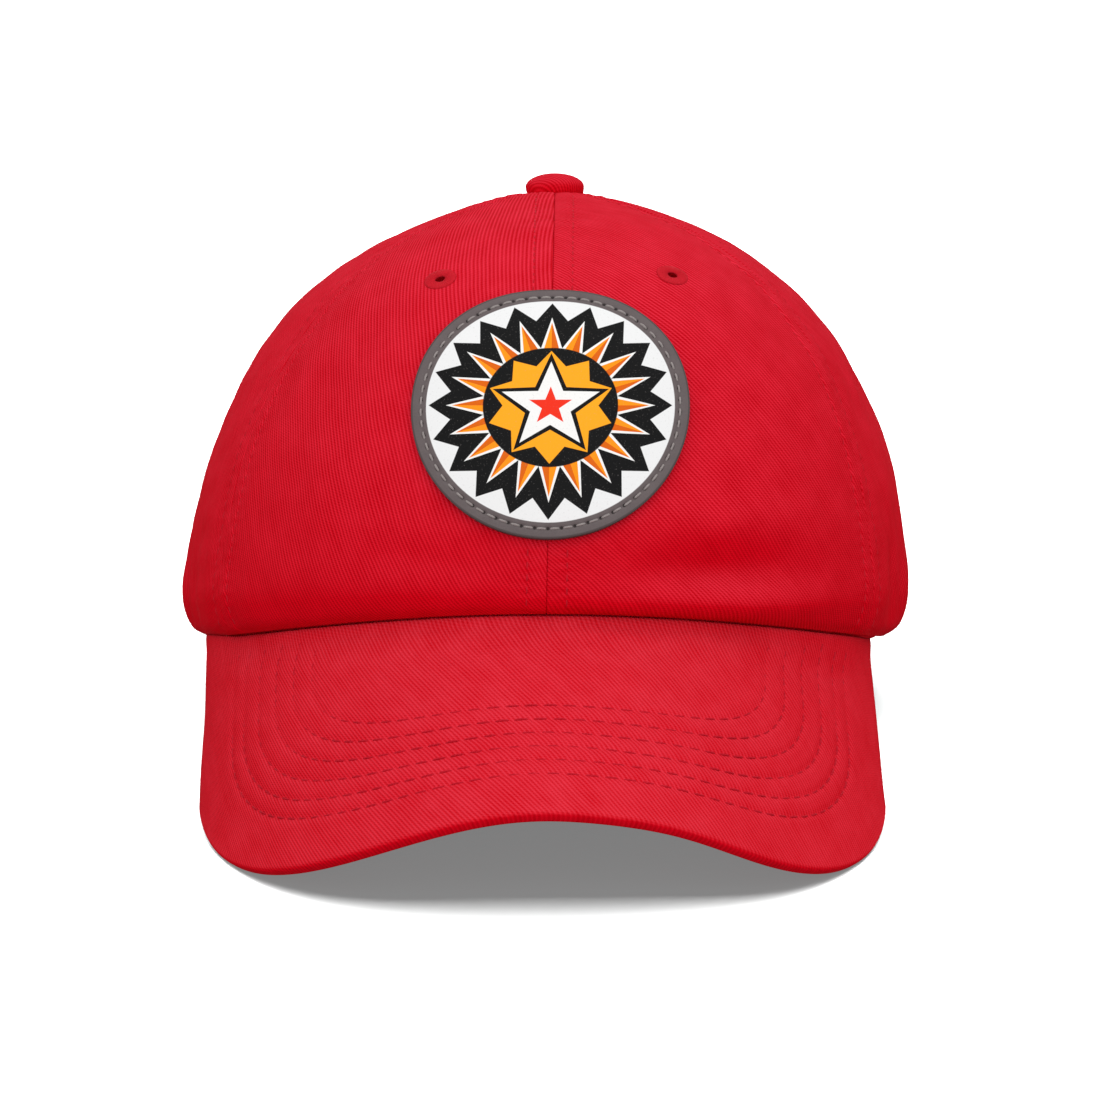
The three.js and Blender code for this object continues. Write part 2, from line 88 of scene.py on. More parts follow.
def run_along(line):
    """The length from the start of a line, or of each row of lines, to each of its points."""
    steps = np.linalg.norm(np.diff(line, axis=-2), axis=-1)
    return np.concatenate([np.zeros((*steps.shape[:-1], 1)), np.cumsum(steps, -1)], -1)


# %% [markdown]
# ## The crown's form
# A cap's crown is a dome whose outline differs at the sides, in front and behind. Three
# meridians carry those outlines, and a blend of them by the azimuth fills in the rest.
# Azimuth 0 is the middle of the front and 90 the right side of the picture. Height runs
# from 0 at the rim to 1 at the top. The sizes are those of the plain part.

# %% The crown's sections and folds, in millimetres and degrees
CLOTH = 1.4
GAP = 0.3
LEAN = 0.02
LEAN_FROM_UP = 40
FRONT_SEAM = 61
BACK_SEAM = 119
SEAM_PULL = 0.8
RIM_FADE = 8
APEX_FADE = 4
APEX_UP = 107.3
# Side out, side up, front out, front up, back out, back up.
SECTIONS = np.array([
    [82, 0, 95, 8.8, 95.5, 0],
    [86, 2.7, 98.2, 11.4, 98.6, 3],
    [88, 11, 99.6, 17.5, 100.4, 12],
    [86.4, 25.5, 98.4, 28, 98.6, 26],
    [83.3, 40.5, 94.2, 42, 94.4, 40.5],
    [78, 55, 88.2, 56, 87.6, 55],
    [70.5, 69.5, 80.6, 70, 78.4, 69.5],
    [59.5, 83, 70, 83.6, 66, 83],
    [44.3, 94.2, 52.5, 94.8, 49, 94.4],
    [29, 101.3, 34, 101.6, 32, 101.4],
    [14, 105.9, 16, 106, 15, 106],
    [3, 107.3, 3, 107.3, 3, 107.3],
])
SIDE_OUT, SIDE_UP, FRONT_OUT, FRONT_UP, BACK_OUT, BACK_UP = range(6)
# Azimuth, height over the rim, reach round and reach up, and how far the cloth stands out.
FOLDS = [
    (27, 18.5, 15, 5.5, -2.6),
    (24, 10.5, 20, 4.5, 2),
    (-16, 21, 12, 5, -0.9),
    (72, 13, 3.4, 13, -2),
    (82, 10, 3, 10, -1.5),
    (-76, 12, 3.4, 12, -1.3),
    (-62, 72, 9, 12, -0.9),
    (124, 24, 8, 12, -1.6),
    (-121, 30, 8, 14, -1.6),
    # Only the dressed cloth has these: a fuller swell round the hollow, and small pleats
    # where the rim is gathered at the temples.
    (30, 30, 15, 5, 0.9),
    (24, 9.5, 19, 3.6, 0.9),
    (76.5, 12, 1.5, 14, -0.9),
    (79.5, 12, 1.3, 15, 0.7),
    (86, 11, 1.5, 12, -0.7),
    (-81, 11, 1.5, 12, -0.8),
    (-84, 12, 1.4, 13, 0.5),
]
# From and to, the eyelet's azimuth and height, and how far the twill's ribs lean right.
PANELS = {
    "front_left": (-61, 0, -26.6, 84.8, -24),
    "front_right": (0, 61, 29, 85.8, -38),
    "side_right": (61, 119, 98, 84, -24),
    "side_left": (-119, -61, -98, 84, -12),
    "back_right": (119, 180, 150, 85, -40),
    "back_left": (-180, -119, -150, 85, 8),
}
SEAMS = (-180, -BACK_SEAM, -FRONT_SEAM, 0, FRONT_SEAM, BACK_SEAM, 180)


def spline(column, height):
    """A column of the sections at any height, as a smooth curve through its rows."""
    rows = SECTIONS[:, column]
    ends = [[2 * rows[0] - rows[1]], rows, [2 * rows[-1] - rows[-2]]]
    padded = np.concatenate(ends)
    place = np.clip(height, 0, 1) * (len(rows) - 1)
    k = np.minimum(np.floor(place).astype(int), len(rows) - 2)
    t = place - k
    before, here, there, after = (padded[k + i] for i in range(4))
    start, stop = (there - before) / 2, (after - here) / 2
    bend = 3 * (there - here) - 2 * start - stop
    twist = 2 * (here - there) + start + stop
    return here + start * t + bend * t**2 + twist * t**3


def crown_base(azimuth, height):
    """Points of the dome before its folds."""
    azimuth, height = np.broadcast_arrays(np.asarray(azimuth, float), height)
    angle = np.radians(azimuth)
    front = np.cos(angle) > 0
    end_out = np.where(front, spline(FRONT_OUT, height), spline(BACK_OUT, height))
    end_up = np.where(front, spline(FRONT_UP, height), spline(BACK_UP, height))
    share = np.sin(angle) ** 2
    return np.stack([
        spline(SIDE_OUT, height) * np.sin(angle),
        -end_out * np.cos(angle),
        spline(SIDE_UP, height) * share + end_up * (1 - share),
    ], -1)


def crown_normal(azimuth, height):
    """The way out of the dome."""
    step = 0.004
    low, high = np.maximum(height - step, 0), np.minimum(height + step, 1)
    turn = crown_base(azimuth + 1, height) - crown_base(azimuth - 1, height)
    rise = crown_base(azimuth, high) - crown_base(azimuth, low)
    return unit(np.cross(turn, rise))


def seam_pull(azimuth):
    """How far the seams draw the cloth in."""
    k = np.clip(np.searchsorted(SEAMS, azimuth) - 1, 0, len(SEAMS) - 2)
    start, stop = np.take(SEAMS, k), np.take(SEAMS, k + 1)
    return SEAM_PULL * (1 - np.sin(np.pi * (azimuth - start) / (stop - start)))


def crown_point(azimuth, height, depth=0.0):
    """The crown's cloth with its folds; depth 0 is its outer face."""
    azimuth, height = np.broadcast_arrays(np.asarray(azimuth, float), height)
    points = crown_base(azimuth, height)
    soft = np.minimum(1, np.minimum(height * RIM_FADE, (1 - height) * APEX_FADE))
    fold = sum(
        out * bell(azimuth - at, wide) * bell(points[..., 2] - up, tall)
        for at, up, wide, tall, out in FOLDS
    )
    out = (fold - seam_pull(azimuth)) * soft - depth
    return points + crown_normal(azimuth, height) * out[..., None]


def height_at(azimuth, up):
    """The height at which the dome reaches so many millimetres over the rim."""
    azimuth, up = np.broadcast_arrays(np.asarray(azimuth, float), up)
    low, high = np.zeros(azimuth.shape), np.ones(azimuth.shape)
    for _ in range(30):
        middle = (low + high) / 2
        below = crown_base(azimuth, middle)[..., 2] < up
        low, high = np.where(below, middle, low), np.where(below, high, middle)
    return (low + high) / 2


def level_way(azimuth):
    """The level way out of the crown at an azimuth."""
    angle = np.radians(azimuth)
    return np.stack([np.sin(angle), -np.cos(angle), 0 * angle], -1)


def rim_point(azimuth, outward, upward):
    """A point beside the rim line, moved outward and upward."""
    azimuth, outward, upward = np.broadcast_arrays(azimuth, outward, upward)
    move = level_way(azimuth) * outward[..., None]
    move[..., 2] = upward
    return crown_base(azimuth, 0.0) + move


# %% [markdown]
# ## The peak's form
# The peak is a flat board bent over a curve and set at a slope. Its upper face is ruled
# from the root, tucked under the rim, to the front edge. The same ruling later gives
# every stitch row its place.

# %% The peak's sizes and surface, in millimetres
PEAK_THICKNESS = 3
PEAK_SLOPE = math.radians(36.7)
PEAK_ROOT_OUT, PEAK_ROOT_UP = 96, 8.2
PEAK_DEPTH = 66.3
PEAK_HALF_WIDTH = 79.2
PEAK_SWAY, PEAK_SWAY_FROM_UP = 0.05, -36
PEAK_ROOT_EASE = 0.2
PEAK_ROOT_LONGEST = 1.25
PEAK_TEMPLE_THIN, PEAK_TEMPLE_FROM = 0.55, 0.75
PEAK_BEND_HEIGHT, PEAK_BEND_WIDTH = 74, 58.3
PEAK_ACROSS = 2.8
PEAK_LIFT_X, PEAK_LIFT_REACH, PEAK_LIFT_OUT = 33, 19, 2


def peak_reach(x, depth=PEAK_DEPTH, half_width=PEAK_HALF_WIDTH, across=PEAK_ACROSS):
    """How far forward an edge reaches at a distance from the middle line."""
    share = np.maximum(0, 1 - np.abs(x / half_width) ** across)
    return depth * np.sqrt(share)


def peak_edge(x):
    """The front edge of the peak's upper face, beside the middle line."""
    reach = peak_reach(x)
    sag = PEAK_BEND_HEIGHT * (np.hypot(1, x / PEAK_BEND_WIDTH) - 1)
    cos, sin = math.cos(PEAK_SLOPE), math.sin(PEAK_SLOPE)
    y = -PEAK_ROOT_OUT - cos * reach + sin * sag
    z = PEAK_ROOT_UP - sin * reach - cos * sag
    return np.stack([x, y, z], -1)


def peak_root(x):
    """Where the peak begins, tucked under the rim."""
    azimuth = np.degrees(np.arcsin(x / SECTIONS[0, SIDE_OUT]))
    return rim_point(azimuth, -CLOTH, -GAP)


def peak_top(x, forward):
    """The peak's upper face: forward is 0 at its root and 1 at its front edge."""
    x, forward = np.broadcast_arrays(np.asarray(x, float), forward)
    root, edge = peak_root(x), peak_edge(x)
    root[..., 0] = x
    edge[..., 2] += PEAK_LIFT_OUT * bell(x - PEAK_LIFT_X, PEAK_LIFT_REACH)
    return root + (edge - root) * forward[..., None]


def peak_normal(x, forward):
    """The way out of the peak's upper face."""
    step = 0.4
    inside = np.clip(x, step - PEAK_HALF_WIDTH, PEAK_HALF_WIDTH - step)
    across = peak_top(inside + step, forward) - peak_top(inside - step, forward)
    ahead = peak_edge(inside) - peak_root(inside)
    return -unit(np.cross(across, ahead))


def peak_point(x, forward, depth):
    """A point below the peak's upper face."""
    x, forward, depth = np.broadcast_arrays(np.asarray(x, float), forward, depth)
    square = smooth_step(forward, 0, PEAK_ROOT_EASE)
    temple = smooth_step(np.abs(x / PEAK_HALF_WIDTH), PEAK_TEMPLE_FROM, 1)
    thick = 1 - PEAK_TEMPLE_THIN * temple * (1 - square)
    normal = peak_normal(x, forward)
    upright = np.zeros(normal.shape)
    upright[..., 2] = np.minimum(1 / normal[..., 2], PEAK_ROOT_LONGEST)
    way = upright + (normal - upright) * square[..., None]
    points = peak_top(x, forward) - way * (depth * thick)[..., None]
    points[..., 0] += PEAK_SWAY * (PEAK_SWAY_FROM_UP - points[..., 2]) * square
    return points


# %% [markdown]
# ## How the hat rests
# By itself the hat leans back on the two corners of its peak and on the strap behind.
# The angle follows from those points. The plain peak's box then says where the frame's
# origin is, so the grids need no fitting.

# %% From the level hat to the resting one
PRESSED = 0.55
STRAP_INWARD = CLOTH + GAP
REST_BACK = SECTIONS[0, BACK_OUT] - STRAP_INWARD
corners = peak_point(PEAK_HALF_WIDTH * np.arange(61) / 60, 1.0, float(PEAK_THICKNESS))
REST_ANGLE = np.arctan2(-corners[:, 2], REST_BACK - corners[:, 1]).max()
REST_UP = REST_BACK * math.sin(REST_ANGLE) - PRESSED
REST_TURN = np.array(Matrix.Rotation(-REST_ANGLE, 3, "X"))


def turned(points):
    """Points of the level hat as the resting hat holds them, in millimetres."""
    leant = np.array(points, float)
    leant[..., 0] += LEAN * (leant[..., 2] - LEAN_FROM_UP)
    rested = leant @ REST_TURN.T
    rested[..., 2] += REST_UP
    return rested


# The plain peak's own grid, crowded towards its front edge, which is rounded.
PLAIN_COLUMNS, PLAIN_ROWS = 33, 10
PLAIN_CROWDING = 1.6
PLAIN_ROUNDED, PLAIN_ROUNDING = 0.06, 0.75


def plain_peak_box():
    """The lowest and highest corners of the plain peak, before it is centred."""
    across, along = np.meshgrid(np.linspace(0, 1, PLAIN_COLUMNS), np.linspace(0, 1, PLAIN_ROWS))
    x = PEAK_HALF_WIDTH * np.sin(np.pi * (across - 0.5))
    forward = 1 - (1 - along) ** PLAIN_CROWDING
    edge = np.maximum(0, 1 - (1 - forward) / PLAIN_ROUNDED)
    half = PEAK_THICKNESS / 2 * np.sqrt(1 - PLAIN_ROUNDING * edge**2)
    both = [turned(peak_point(x, forward, PEAK_THICKNESS / 2 + s * half)) for s in (-1, 1)]
    cloud = np.concatenate(both).reshape(-1, 3)
    return cloud.min(0), cloud.max(0)


mine = np.mean(plain_peak_box(), 0)
packed = np.mean([list(corner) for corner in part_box("peak")], 0) / MM
SHIFT = np.array([packed[0] - mine[0], packed[1] - mine[1], 0])
print("rests at", round(math.degrees(REST_ANGLE), 2), "degrees; origin moved by", SHIFT.round(2))


def settle(points):
    """Points of the level hat at rest in metres, with soft edges pressed flat."""
    rested = turned(points) + SHIFT
    rested[..., 2] = np.maximum(rested[..., 2], 0)
    return rested * MM


def way_at_rest(vectors):
    """Directions of the level hat, as they lie at rest."""
    return np.asarray(vectors, float) @ REST_TURN.T


# %% [markdown]
# ## The camera, the floor and the light
# The picture was taken with a long lens from a little above, so the lines hardly
# converge. The floor and the surroundings are white, and a broad soft light hangs above.
# It leaves only a short soft shadow below the peak. As in many studios the paper has a
# lamp of its own, which does not reach the hat and burns the paper out to white around a
# compact shadow.

# %% Camera
CAMERA_AIM = Vector((0.79, 31.1, 42.4)) * MM
CAMERA_DISTANCE = 1.2
CAMERA_ELEVATION = REST_ANGLE + math.radians(1.6)
PICTURE_SIDE = 1100
FOCAL_PIXELS = 4930
SENSOR = 36
camera = bpy.data.objects.new("camera", bpy.data.cameras.new("camera"))
bpy.context.scene.collection.objects.link(camera)
camera.data.sensor_width = SENSOR
camera.data.lens = SENSOR * FOCAL_PIXELS / PICTURE_SIDE
back = Vector((0, -math.cos(CAMERA_ELEVATION), math.sin(CAMERA_ELEVATION)))
camera.location = CAMERA_AIM + back * CAMERA_DISTANCE
camera.rotation_euler = (-back).to_track_quat("-Z", "Y").to_euler()
camera.data.clip_start, camera.data.clip_end = 0.01, 50
bpy.context.scene.camera = camera
print("lens", round(camera.data.lens, 1), "mm at", tuple(round(v, 3) for v in camera.location))


# %% A node with its settings and links
MATH, MIX, NOISE = "ShaderNodeMath", "ShaderNodeMix", "ShaderNodeTexNoise"


def add(tree, kind, inputs=(), **settings):
    """Adds a node. Its inputs, by name or in order, are values, sockets or other nodes.

    A node that is given as an input stands for its first output."""
    node = tree.nodes.new(kind)
    for name, value in settings.items():
        setattr(node, name, value)
    if not isinstance(inputs, dict):
        inputs = dict(enumerate(inputs))
    for key, value in inputs.items():
        source = value.outputs[0] if isinstance(value, bpy.types.Node) else value
        if isinstance(source, bpy.types.NodeSocket):
            tree.links.new(source, node.inputs[key])
        else:
            node.inputs[key].default_value = source
    return node


def new_material(name):
    """An empty material, its tree and its surface shader."""
    material = bpy.data.materials.new(name)
    material.use_nodes = True
    tree = material.node_tree
    return material, tree, tree.nodes["Principled BSDF"]


# %% Floor, surroundings and lamps
FLOOR_SIDE = 12
LIGHT_FROM_BELOW, LIGHT_FROM_ABOVE = 0.22, 1.14
# How strongly the paper glows near the hat and far from it, with the two distances: painted light.
GLOW_NEAR, GLOW_FAR = 0.19, 1.0
GLOW_FROM, GLOW_TO = 0.25, 1.5
# The painted glow is a shade cool, against the red that the cloth throws into the shadow.
GLOW_COLOUR = (0.93, 1.05, 1.05, 1)
# Each lamp's place, what it looks at, its side in metres and its watts.
LAMPS = {
    "sky_softbox": ((0.15, -0.25, 1.7), (0, 0, 0.05), 2.4, 7),
    "front_softbox": ((0.1, -2.2, 0.8), (0, 0, 0.08), 1.6, 14),
    "paper_softbox": ((0, -0.6, 1.5), (0, -0.05, 0), 1.5, 520),
}
bpy.ops.object.select_all(action="DESELECT")
bpy.ops.mesh.primitive_plane_add(size=FLOOR_SIDE)
floor = bpy.context.object
floor.name = "floor"
# Matt grey studio paper that glows: painted light.
paper, paper_tree, paper_shader = new_material("grey_studio_paper_with_painted_glow")
paper_shader.inputs["Base Color"].default_value = linear("#6E6E6E")
paper_shader.inputs["Roughness"].default_value = 0.95
paper_shader.inputs["Specular IOR Level"].default_value = 0.1
# The paper glows though it is no lamp: painted light, faint near the hat so that the shadow under
# the peak stays grey, and stronger further out. It is grey by itself, because a white one throws
# the hat's own red back into the shadow.
paper_place = add(paper_tree, "ShaderNodeTexCoord").outputs["Object"]
paper_reach = add(paper_tree, "ShaderNodeVectorMath", [paper_place], operation="LENGTH")
paper_glow = add(paper_tree, "ShaderNodeMapRange", {
    "Value": paper_reach.outputs["Value"], "From Min": GLOW_FROM, "From Max": GLOW_TO,
    "To Min": GLOW_NEAR, "To Max": GLOW_FAR})
paper_shader.inputs["Emission Color"].default_value = GLOW_COLOUR
paper_tree.links.new(paper_glow.outputs[0], paper_shader.inputs["Emission Strength"])
floor.data.materials.append(paper)
# The paper lights neither the hat nor its gloss. The even surroundings do that instead.
floor.visible_diffuse = False
floor.visible_glossy = False

world = bpy.data.worlds.new("white_studio")
bpy.context.scene.world = world
world.use_nodes = True
world_tree = world.node_tree
background = world_tree.nodes["Background"]
background.inputs["Color"].default_value = (1, 1, 1, 1)
# The surroundings are brightest overhead and dim below.
way = add(world_tree, "ShaderNodeTexCoord").outputs["Generated"]
height = add(world_tree, "ShaderNodeSeparateXYZ", [way]).outputs["Z"]
brightness = add(world_tree, "ShaderNodeMapRange", {
    "Value": height, "From Min": -1.0, "From Max": 1.0,
    "To Min": LIGHT_FROM_BELOW, "To Max": LIGHT_FROM_ABOVE})
world_tree.links.new(brightness.outputs[0], background.inputs["Strength"])
bpy.context.scene.view_settings.view_transform = "Standard"


def lamp(name, place, aim, side, watts):
    """A square soft light that looks at a point."""
    data = bpy.data.lights.new(name, "AREA")
    data.shape, data.size, data.energy = "SQUARE", side, watts
    light = bpy.data.objects.new(name, data)
    bpy.context.scene.collection.objects.link(light)
    light.location = place
    way = Vector(aim) - Vector(place)
    light.rotation_euler = way.to_track_quat("-Z", "Y").to_euler()
    return light


lamps = {name: lamp(name, *row) for name, row in LAMPS.items()}
only_paper = bpy.data.collections.new("only_paper")
only_paper.objects.link(floor)
lamps["paper_softbox"].light_linking.receiver_collection = only_paper
print("lamps:", list(lamps))

# %% [markdown]
# ## Cotton twill
# Twill is woven so that each thread steps one place sideways in each row, which draws
# slanting ribs. On this hat they lie about 0.9 mm apart and are dyed red, a little paler
# where the ribs stand up and catch the light. The material reads a UV map in
# millimetres, turned so that the ribs run along V, and so they follow each panel's cut.

# %% Cotton twill material
RIB_PITCH = 0.9
# One crossing of the threads along a rib, drawn a little coarse so that it shows.
CROSSING_PITCH = 0.75
# The noise stays near its middle, so of this the ribs waver by a tenth or two of a millimetre.
RIB_WAVER = 0.9
# The surface's own upward share at which the painted top light begins and at which it is full.
TOP_LIGHT_FROM, TOP_LIGHT_TO = -0.05, 0.85


def cotton_twill(name, groove, rib, top_lit_rib, contrast):
    """Dyed and washed cotton twill: matt, faintly fuzzy, never one even colour, with painted light
    that makes its upper faces paler.
    """
    material, tree, shader = new_material(name)
    uv = add(tree, "ShaderNodeUVMap", uv_map="cloth")
    split = add(tree, "ShaderNodeSeparateXYZ", [uv])
    drift = add(tree, NOISE, {"Vector": uv, "Scale": 0.05, "Detail": 1.0})
    waver = add(tree, MATH, [drift, RIB_WAVER, -RIB_WAVER / 2], operation="MULTIPLY_ADD")
    across = add(tree, MATH, [split.outputs["X"], waver], operation="ADD")
    rib_turn = add(tree, MATH, [across, 2 * math.pi / RIB_PITCH], operation="MULTIPLY")
    step_turn = add(tree, MATH, [split.outputs["Y"], 2 * math.pi / CROSSING_PITCH, rib_turn],
                    operation="MULTIPLY_ADD")
    # Three quarters of the relief are the ribs, and a quarter is the steps along them.
    weave = 0.5
    for turn, share in ((rib_turn, 0.75), (step_turn, 0.25)):
        wave = add(tree, MATH, [turn], operation="SINE")
        weave = add(tree, MATH, [wave, share / 2, weave], operation="MULTIPLY_ADD")
    # Some threads are thicker than others, over a few ribs and a long way along them.
    long_way = add(tree, "ShaderNodeMapping", {0: uv, "Scale": (1.1, 0.07, 1)})
    slub = add(tree, NOISE, {"Vector": long_way, "Scale": 0.9, "Detail": 2.0})
    fibre = add(tree, NOISE, {"Vector": uv, "Scale": 2.6, "Detail": 2.0})
    mottling = add(tree, NOISE, {"Vector": uv, "Scale": 0.11, "Detail": 3.0})
    tone = 0.5
    for part, share in ((weave, contrast), (slub, 0.4), (fibre, 0.4), (mottling, 0.5)):
        off = add(tree, MATH, [part, 0.5], operation="SUBTRACT")
        tone = add(tree, MATH, [off, share, tone], operation="MULTIPLY_ADD")
    # The ribs that face upward are painted paler than the upright cloth: painted light from above.
    facing = add(tree, "ShaderNodeTexCoord").outputs["Normal"]
    upward = add(tree, "ShaderNodeSeparateXYZ", [facing]).outputs["Z"]
    painted_top_light = add(tree, "ShaderNodeMapRange",
                {"Value": upward, "From Min": TOP_LIGHT_FROM, "From Max": TOP_LIGHT_TO})
    lit_rib_dye = add(tree, MIX, {0: painted_top_light, 6: linear(rib), 7: linear(top_lit_rib)},
                   data_type="RGBA")
    dyed = add(tree, MIX, {0: tone, 6: linear(groove), 7: lit_rib_dye.outputs[2]},
               data_type="RGBA", clamp_factor=True)
    raised = add(tree, MATH, [fibre, 0.35, weave], operation="MULTIPLY_ADD")
    bump = add(tree, "ShaderNodeBump",
               {"Strength": 0.8, "Distance": 0.2 * MM, "Height": raised})
    tree.links.new(dyed.outputs[2], shader.inputs["Base Color"])
    tree.links.new(bump.outputs[0], shader.inputs["Normal"])
    shader.inputs["Roughness"].default_value = 0.9
    shader.inputs["Specular IOR Level"].default_value = 0.02
    return material


# The third colour of each is the rib's painted top light, for cloth that faces upward.
crown_twill = cotton_twill("cotton_twill_crown", "#B6000E", "#DC081E", "#DE2C40", 0.95)
# The peak is the same cloth, tuned a little darker in its ribs and flatter: painted shade against
# the stronger light on the upturned peak.
peak_twill = cotton_twill("cotton_twill_peak", "#BE0010", "#DA061C", "#DA3444", 0.8)
print("twill:", crown_twill.name, peak_twill.name)

# %% [markdown]
# ## A sheet of cloth with two faces
# Each piece of cloth is a shell: an outer and an inner grid of the same size, joined
# along their four edges. Towards an edge the two faces lean to each other as a folded
# edge does. A row of the grid lies just beside each stitch line, so that its groove can
# be in the shape and not only in the shading.

# %% Shells from two grids
def mesh_piece(name, points, faces, uv, material):
    """A smooth mesh object from points in metres, with its UV map in millimetres."""
    mesh = bpy.data.meshes.new(name)
    mesh.from_pydata(points.tolist(), [], faces)
    layer = mesh.uv_layers.new(name="cloth")
    corner = np.zeros(len(mesh.loops), dtype=np.int64)
    mesh.loops.foreach_get("vertex_index", corner)
    layer.data.foreach_set("uv", uv[corner].astype(np.float32).ravel())
    mesh.polygons.foreach_set("use_smooth", [True] * len(mesh.polygons))
    mesh.materials.append(material)
    mesh.update()
    piece = bpy.data.objects.new(name, mesh)
    bpy.context.scene.collection.objects.link(piece)
    return piece


def edit(piece):
    """Makes the piece the only one that is selected and opens it, all selected."""
    bpy.ops.object.select_all(action="DESELECT")
    piece.select_set(True)
    bpy.context.view_layer.objects.active = piece
    bpy.ops.object.mode_set(mode="EDIT")
    bpy.ops.mesh.select_all(action="SELECT")


def face_outwards(piece):
    """Turns all faces of a closed piece outwards."""
    edit(piece)
    bpy.ops.mesh.normals_make_consistent(inside=False)
    bpy.ops.object.mode_set(mode="OBJECT")


def shell_faces(rows, columns):
    """The faces of a closed shell: outer grid, inner grid and the four edges."""
    at = np.arange(rows * columns).reshape(rows, columns)
    inner = at + rows * columns
    quads = [
        (at[:-1, :-1], at[:-1, 1:], at[1:, 1:], at[1:, :-1]),
        (inner[1:, :-1], inner[1:, 1:], inner[:-1, 1:], inner[:-1, :-1]),
        (at[0, 1:], at[0, :-1], inner[0, :-1], inner[0, 1:]),
        (at[-1, :-1], at[-1, 1:], inner[-1, 1:], inner[-1, :-1]),
        (at[:-1, 0], at[1:, 0], inner[1:, 0], inner[:-1, 0]),
        (at[1:, -1], at[:-1, -1], inner[:-1, -1], inner[1:, -1]),
    ]
    return np.concatenate([np.stack([q.ravel() for q in four], -1) for four in quads]).tolist()


def shell(name, outer, inner, uv, material):
    """A closed shell from two grids of the level hat, in millimetres."""
    points = settle(np.concatenate([outer.reshape(-1, 3), inner.reshape(-1, 3)]))
    both = np.concatenate([uv.reshape(-1, 2)] * 2)
    faces = shell_faces(*outer.shape[:2])
    return mesh_piece(name, points, faces, both, material)


# %% Ribs, folded edges and uneven cloth
# A folded edge stops a little short of closing, so that its two faces never touch.
EDGE_CLOSES = 0.93


def lean_ribs(u, v, degrees):
    """Turns flat millimetres so that ribs which lean so far to the right run along V."""
    angle = math.radians(degrees)
    cos, sin = math.cos(angle), math.sin(angle)
    return np.stack([u * cos - v * sin, u * sin + v * cos], -1)


def edge_turn(distance, radius):
    """How far a face leans in where it is this near to a folded edge."""
    inside = radius - np.minimum(distance, radius)
    return EDGE_CLOSES * (radius - np.sqrt(radius**2 - inside**2))


def puckers(along, pitch, seed):
    """An uneven wave from -1 to 1, as thread draws cloth up between its holes."""
    drift = np.sin(along / 17 + seed) + 0.6 * np.sin(along / 7.3 + 2 * seed)
    return np.sin(2 * np.pi * along / pitch + 1.3 * drift)


def waves(points, shortest, longest, count, seed):
    """Soft unevenness: many plane waves of seeded direction, length and phase."""
    draw = np.random.default_rng(seed)
    total = np.zeros(points.shape[:-1])
    for _ in range(count):
        way = unit(draw.normal(size=3)) * 2 * np.pi / draw.uniform(shortest, longest)
        total += np.sin(points @ way + draw.uniform(0, 2 * np.pi))
    return total / math.sqrt(count)


# %% [markdown]
# ## The six panels
# Each panel is cut as a tall petal. Where two meet, the cloth is folded under and held by
# a row of stitches on each side, 4.5 mm from the seam, which leaves a soft raised band
# with a groove along it. Columns of the grid are placed by real millimetres from the
# seam, so the band keeps its width up to the button.

# %% Lengths along the crown
SEAM_COLUMNS = np.array([
    0, 0.12, 0.35, 0.75, 1.3, 2.1, 3.0, 3.6, 4.0, 4.25, 4.5, 4.75, 5.0, 5.4, 6.0])
SEAM_ROW = 4.5
STITCH_COLUMN = int(np.where(SEAM_COLUMNS == SEAM_ROW)[0][0])
MIDDLE_COLUMNS = 44
ROW_STEP = 1.05
EDGE_RADIUS = 0.4
PATCH_RADIUS = 31.15
PATCH_UP = 55

fine_heights = np.linspace(0, 1, 1201)


def length_table(azimuth):
    """The length along the dome from the rim, for each of the fine heights."""
    return run_along(crown_base(azimuth, fine_heights))


front_lengths = length_table(0)
side_lengths = length_table(90)
patch_middle = np.interp(height_at(0, PATCH_UP), fine_heights, front_lengths)
print("rim to button along the front:", round(float(front_lengths[-1]), 1), "mm")


def patch_distance(azimuth, height):
    """How far a place on the crown is from the patch's middle."""
    right = np.radians(azimuth) * spline(SIDE_OUT, height)
    up = np.interp(height, fine_heights, front_lengths) - patch_middle
    return np.hypot(right, up)


def panel_rows():
    """Heights of the panel's rows: close together at the rim and even above it."""
    near = np.array([0, 0.12, 0.35, 0.7, 1.2, 1.9, 2.8])
    even = np.arange(near[-1] + ROW_STEP, side_lengths[-1], ROW_STEP)
    lengths = np.concatenate([near, even, [side_lengths[-1]]])
    return np.interp(lengths, side_lengths, fine_heights), lengths


def panel_grid(start, stop):
    """Azimuths, heights, and millimetres from both seams and the rim, for one panel."""
    heights, lengths = panel_rows()
    samples = np.linspace(start, stop, 121)
    run = run_along(crown_base(samples[None, :], heights[:, None]))
    azimuths, lefts, widths = [], [], []
    for row in run:
        width = row[-1]
        band = SEAM_COLUMNS * min(1, width / 2 / (SEAM_COLUMNS[-1] + 0.4))
        middle = np.linspace(band[-1], width - band[-1], MIDDLE_COLUMNS)[1:-1]
        places = np.concatenate([band, middle, width - band[::-1]])
        lefts.append(places)
        widths.append(width)
        azimuths.append(np.interp(places, row, samples))
    left = np.array(lefts)
    right = np.array(widths)[:, None] - left
    level = 0 * left
    return np.array(azimuths), heights[:, None] + level, left, right, lengths[:, None] + level


# %% The relief of a sewn panel
BAND_RISE, BAND_FROM, BAND_TO = 0.3, 4.3, 5.6
SEAM_GROOVE, SEAM_GROOVE_REACH = 0.3, 0.6
# How far, how long and how wide the thread draws the cloth up, beside each row of stitches
# and in the middle of the band.
PUCKERS_AT_ROW = (0.15, 3.1, 1.9)
PUCKERS_IN_BAND, BAND_MIDDLE = (0.07, 4.7, 2.0), 2.2
# How far the cloth waves in and out, between the shortest and the longest wave.
LONG_WAVES, SHORT_WAVES = (0.24, 22, 48), (0.11, 7, 13)
WAVE_COUNT = 9


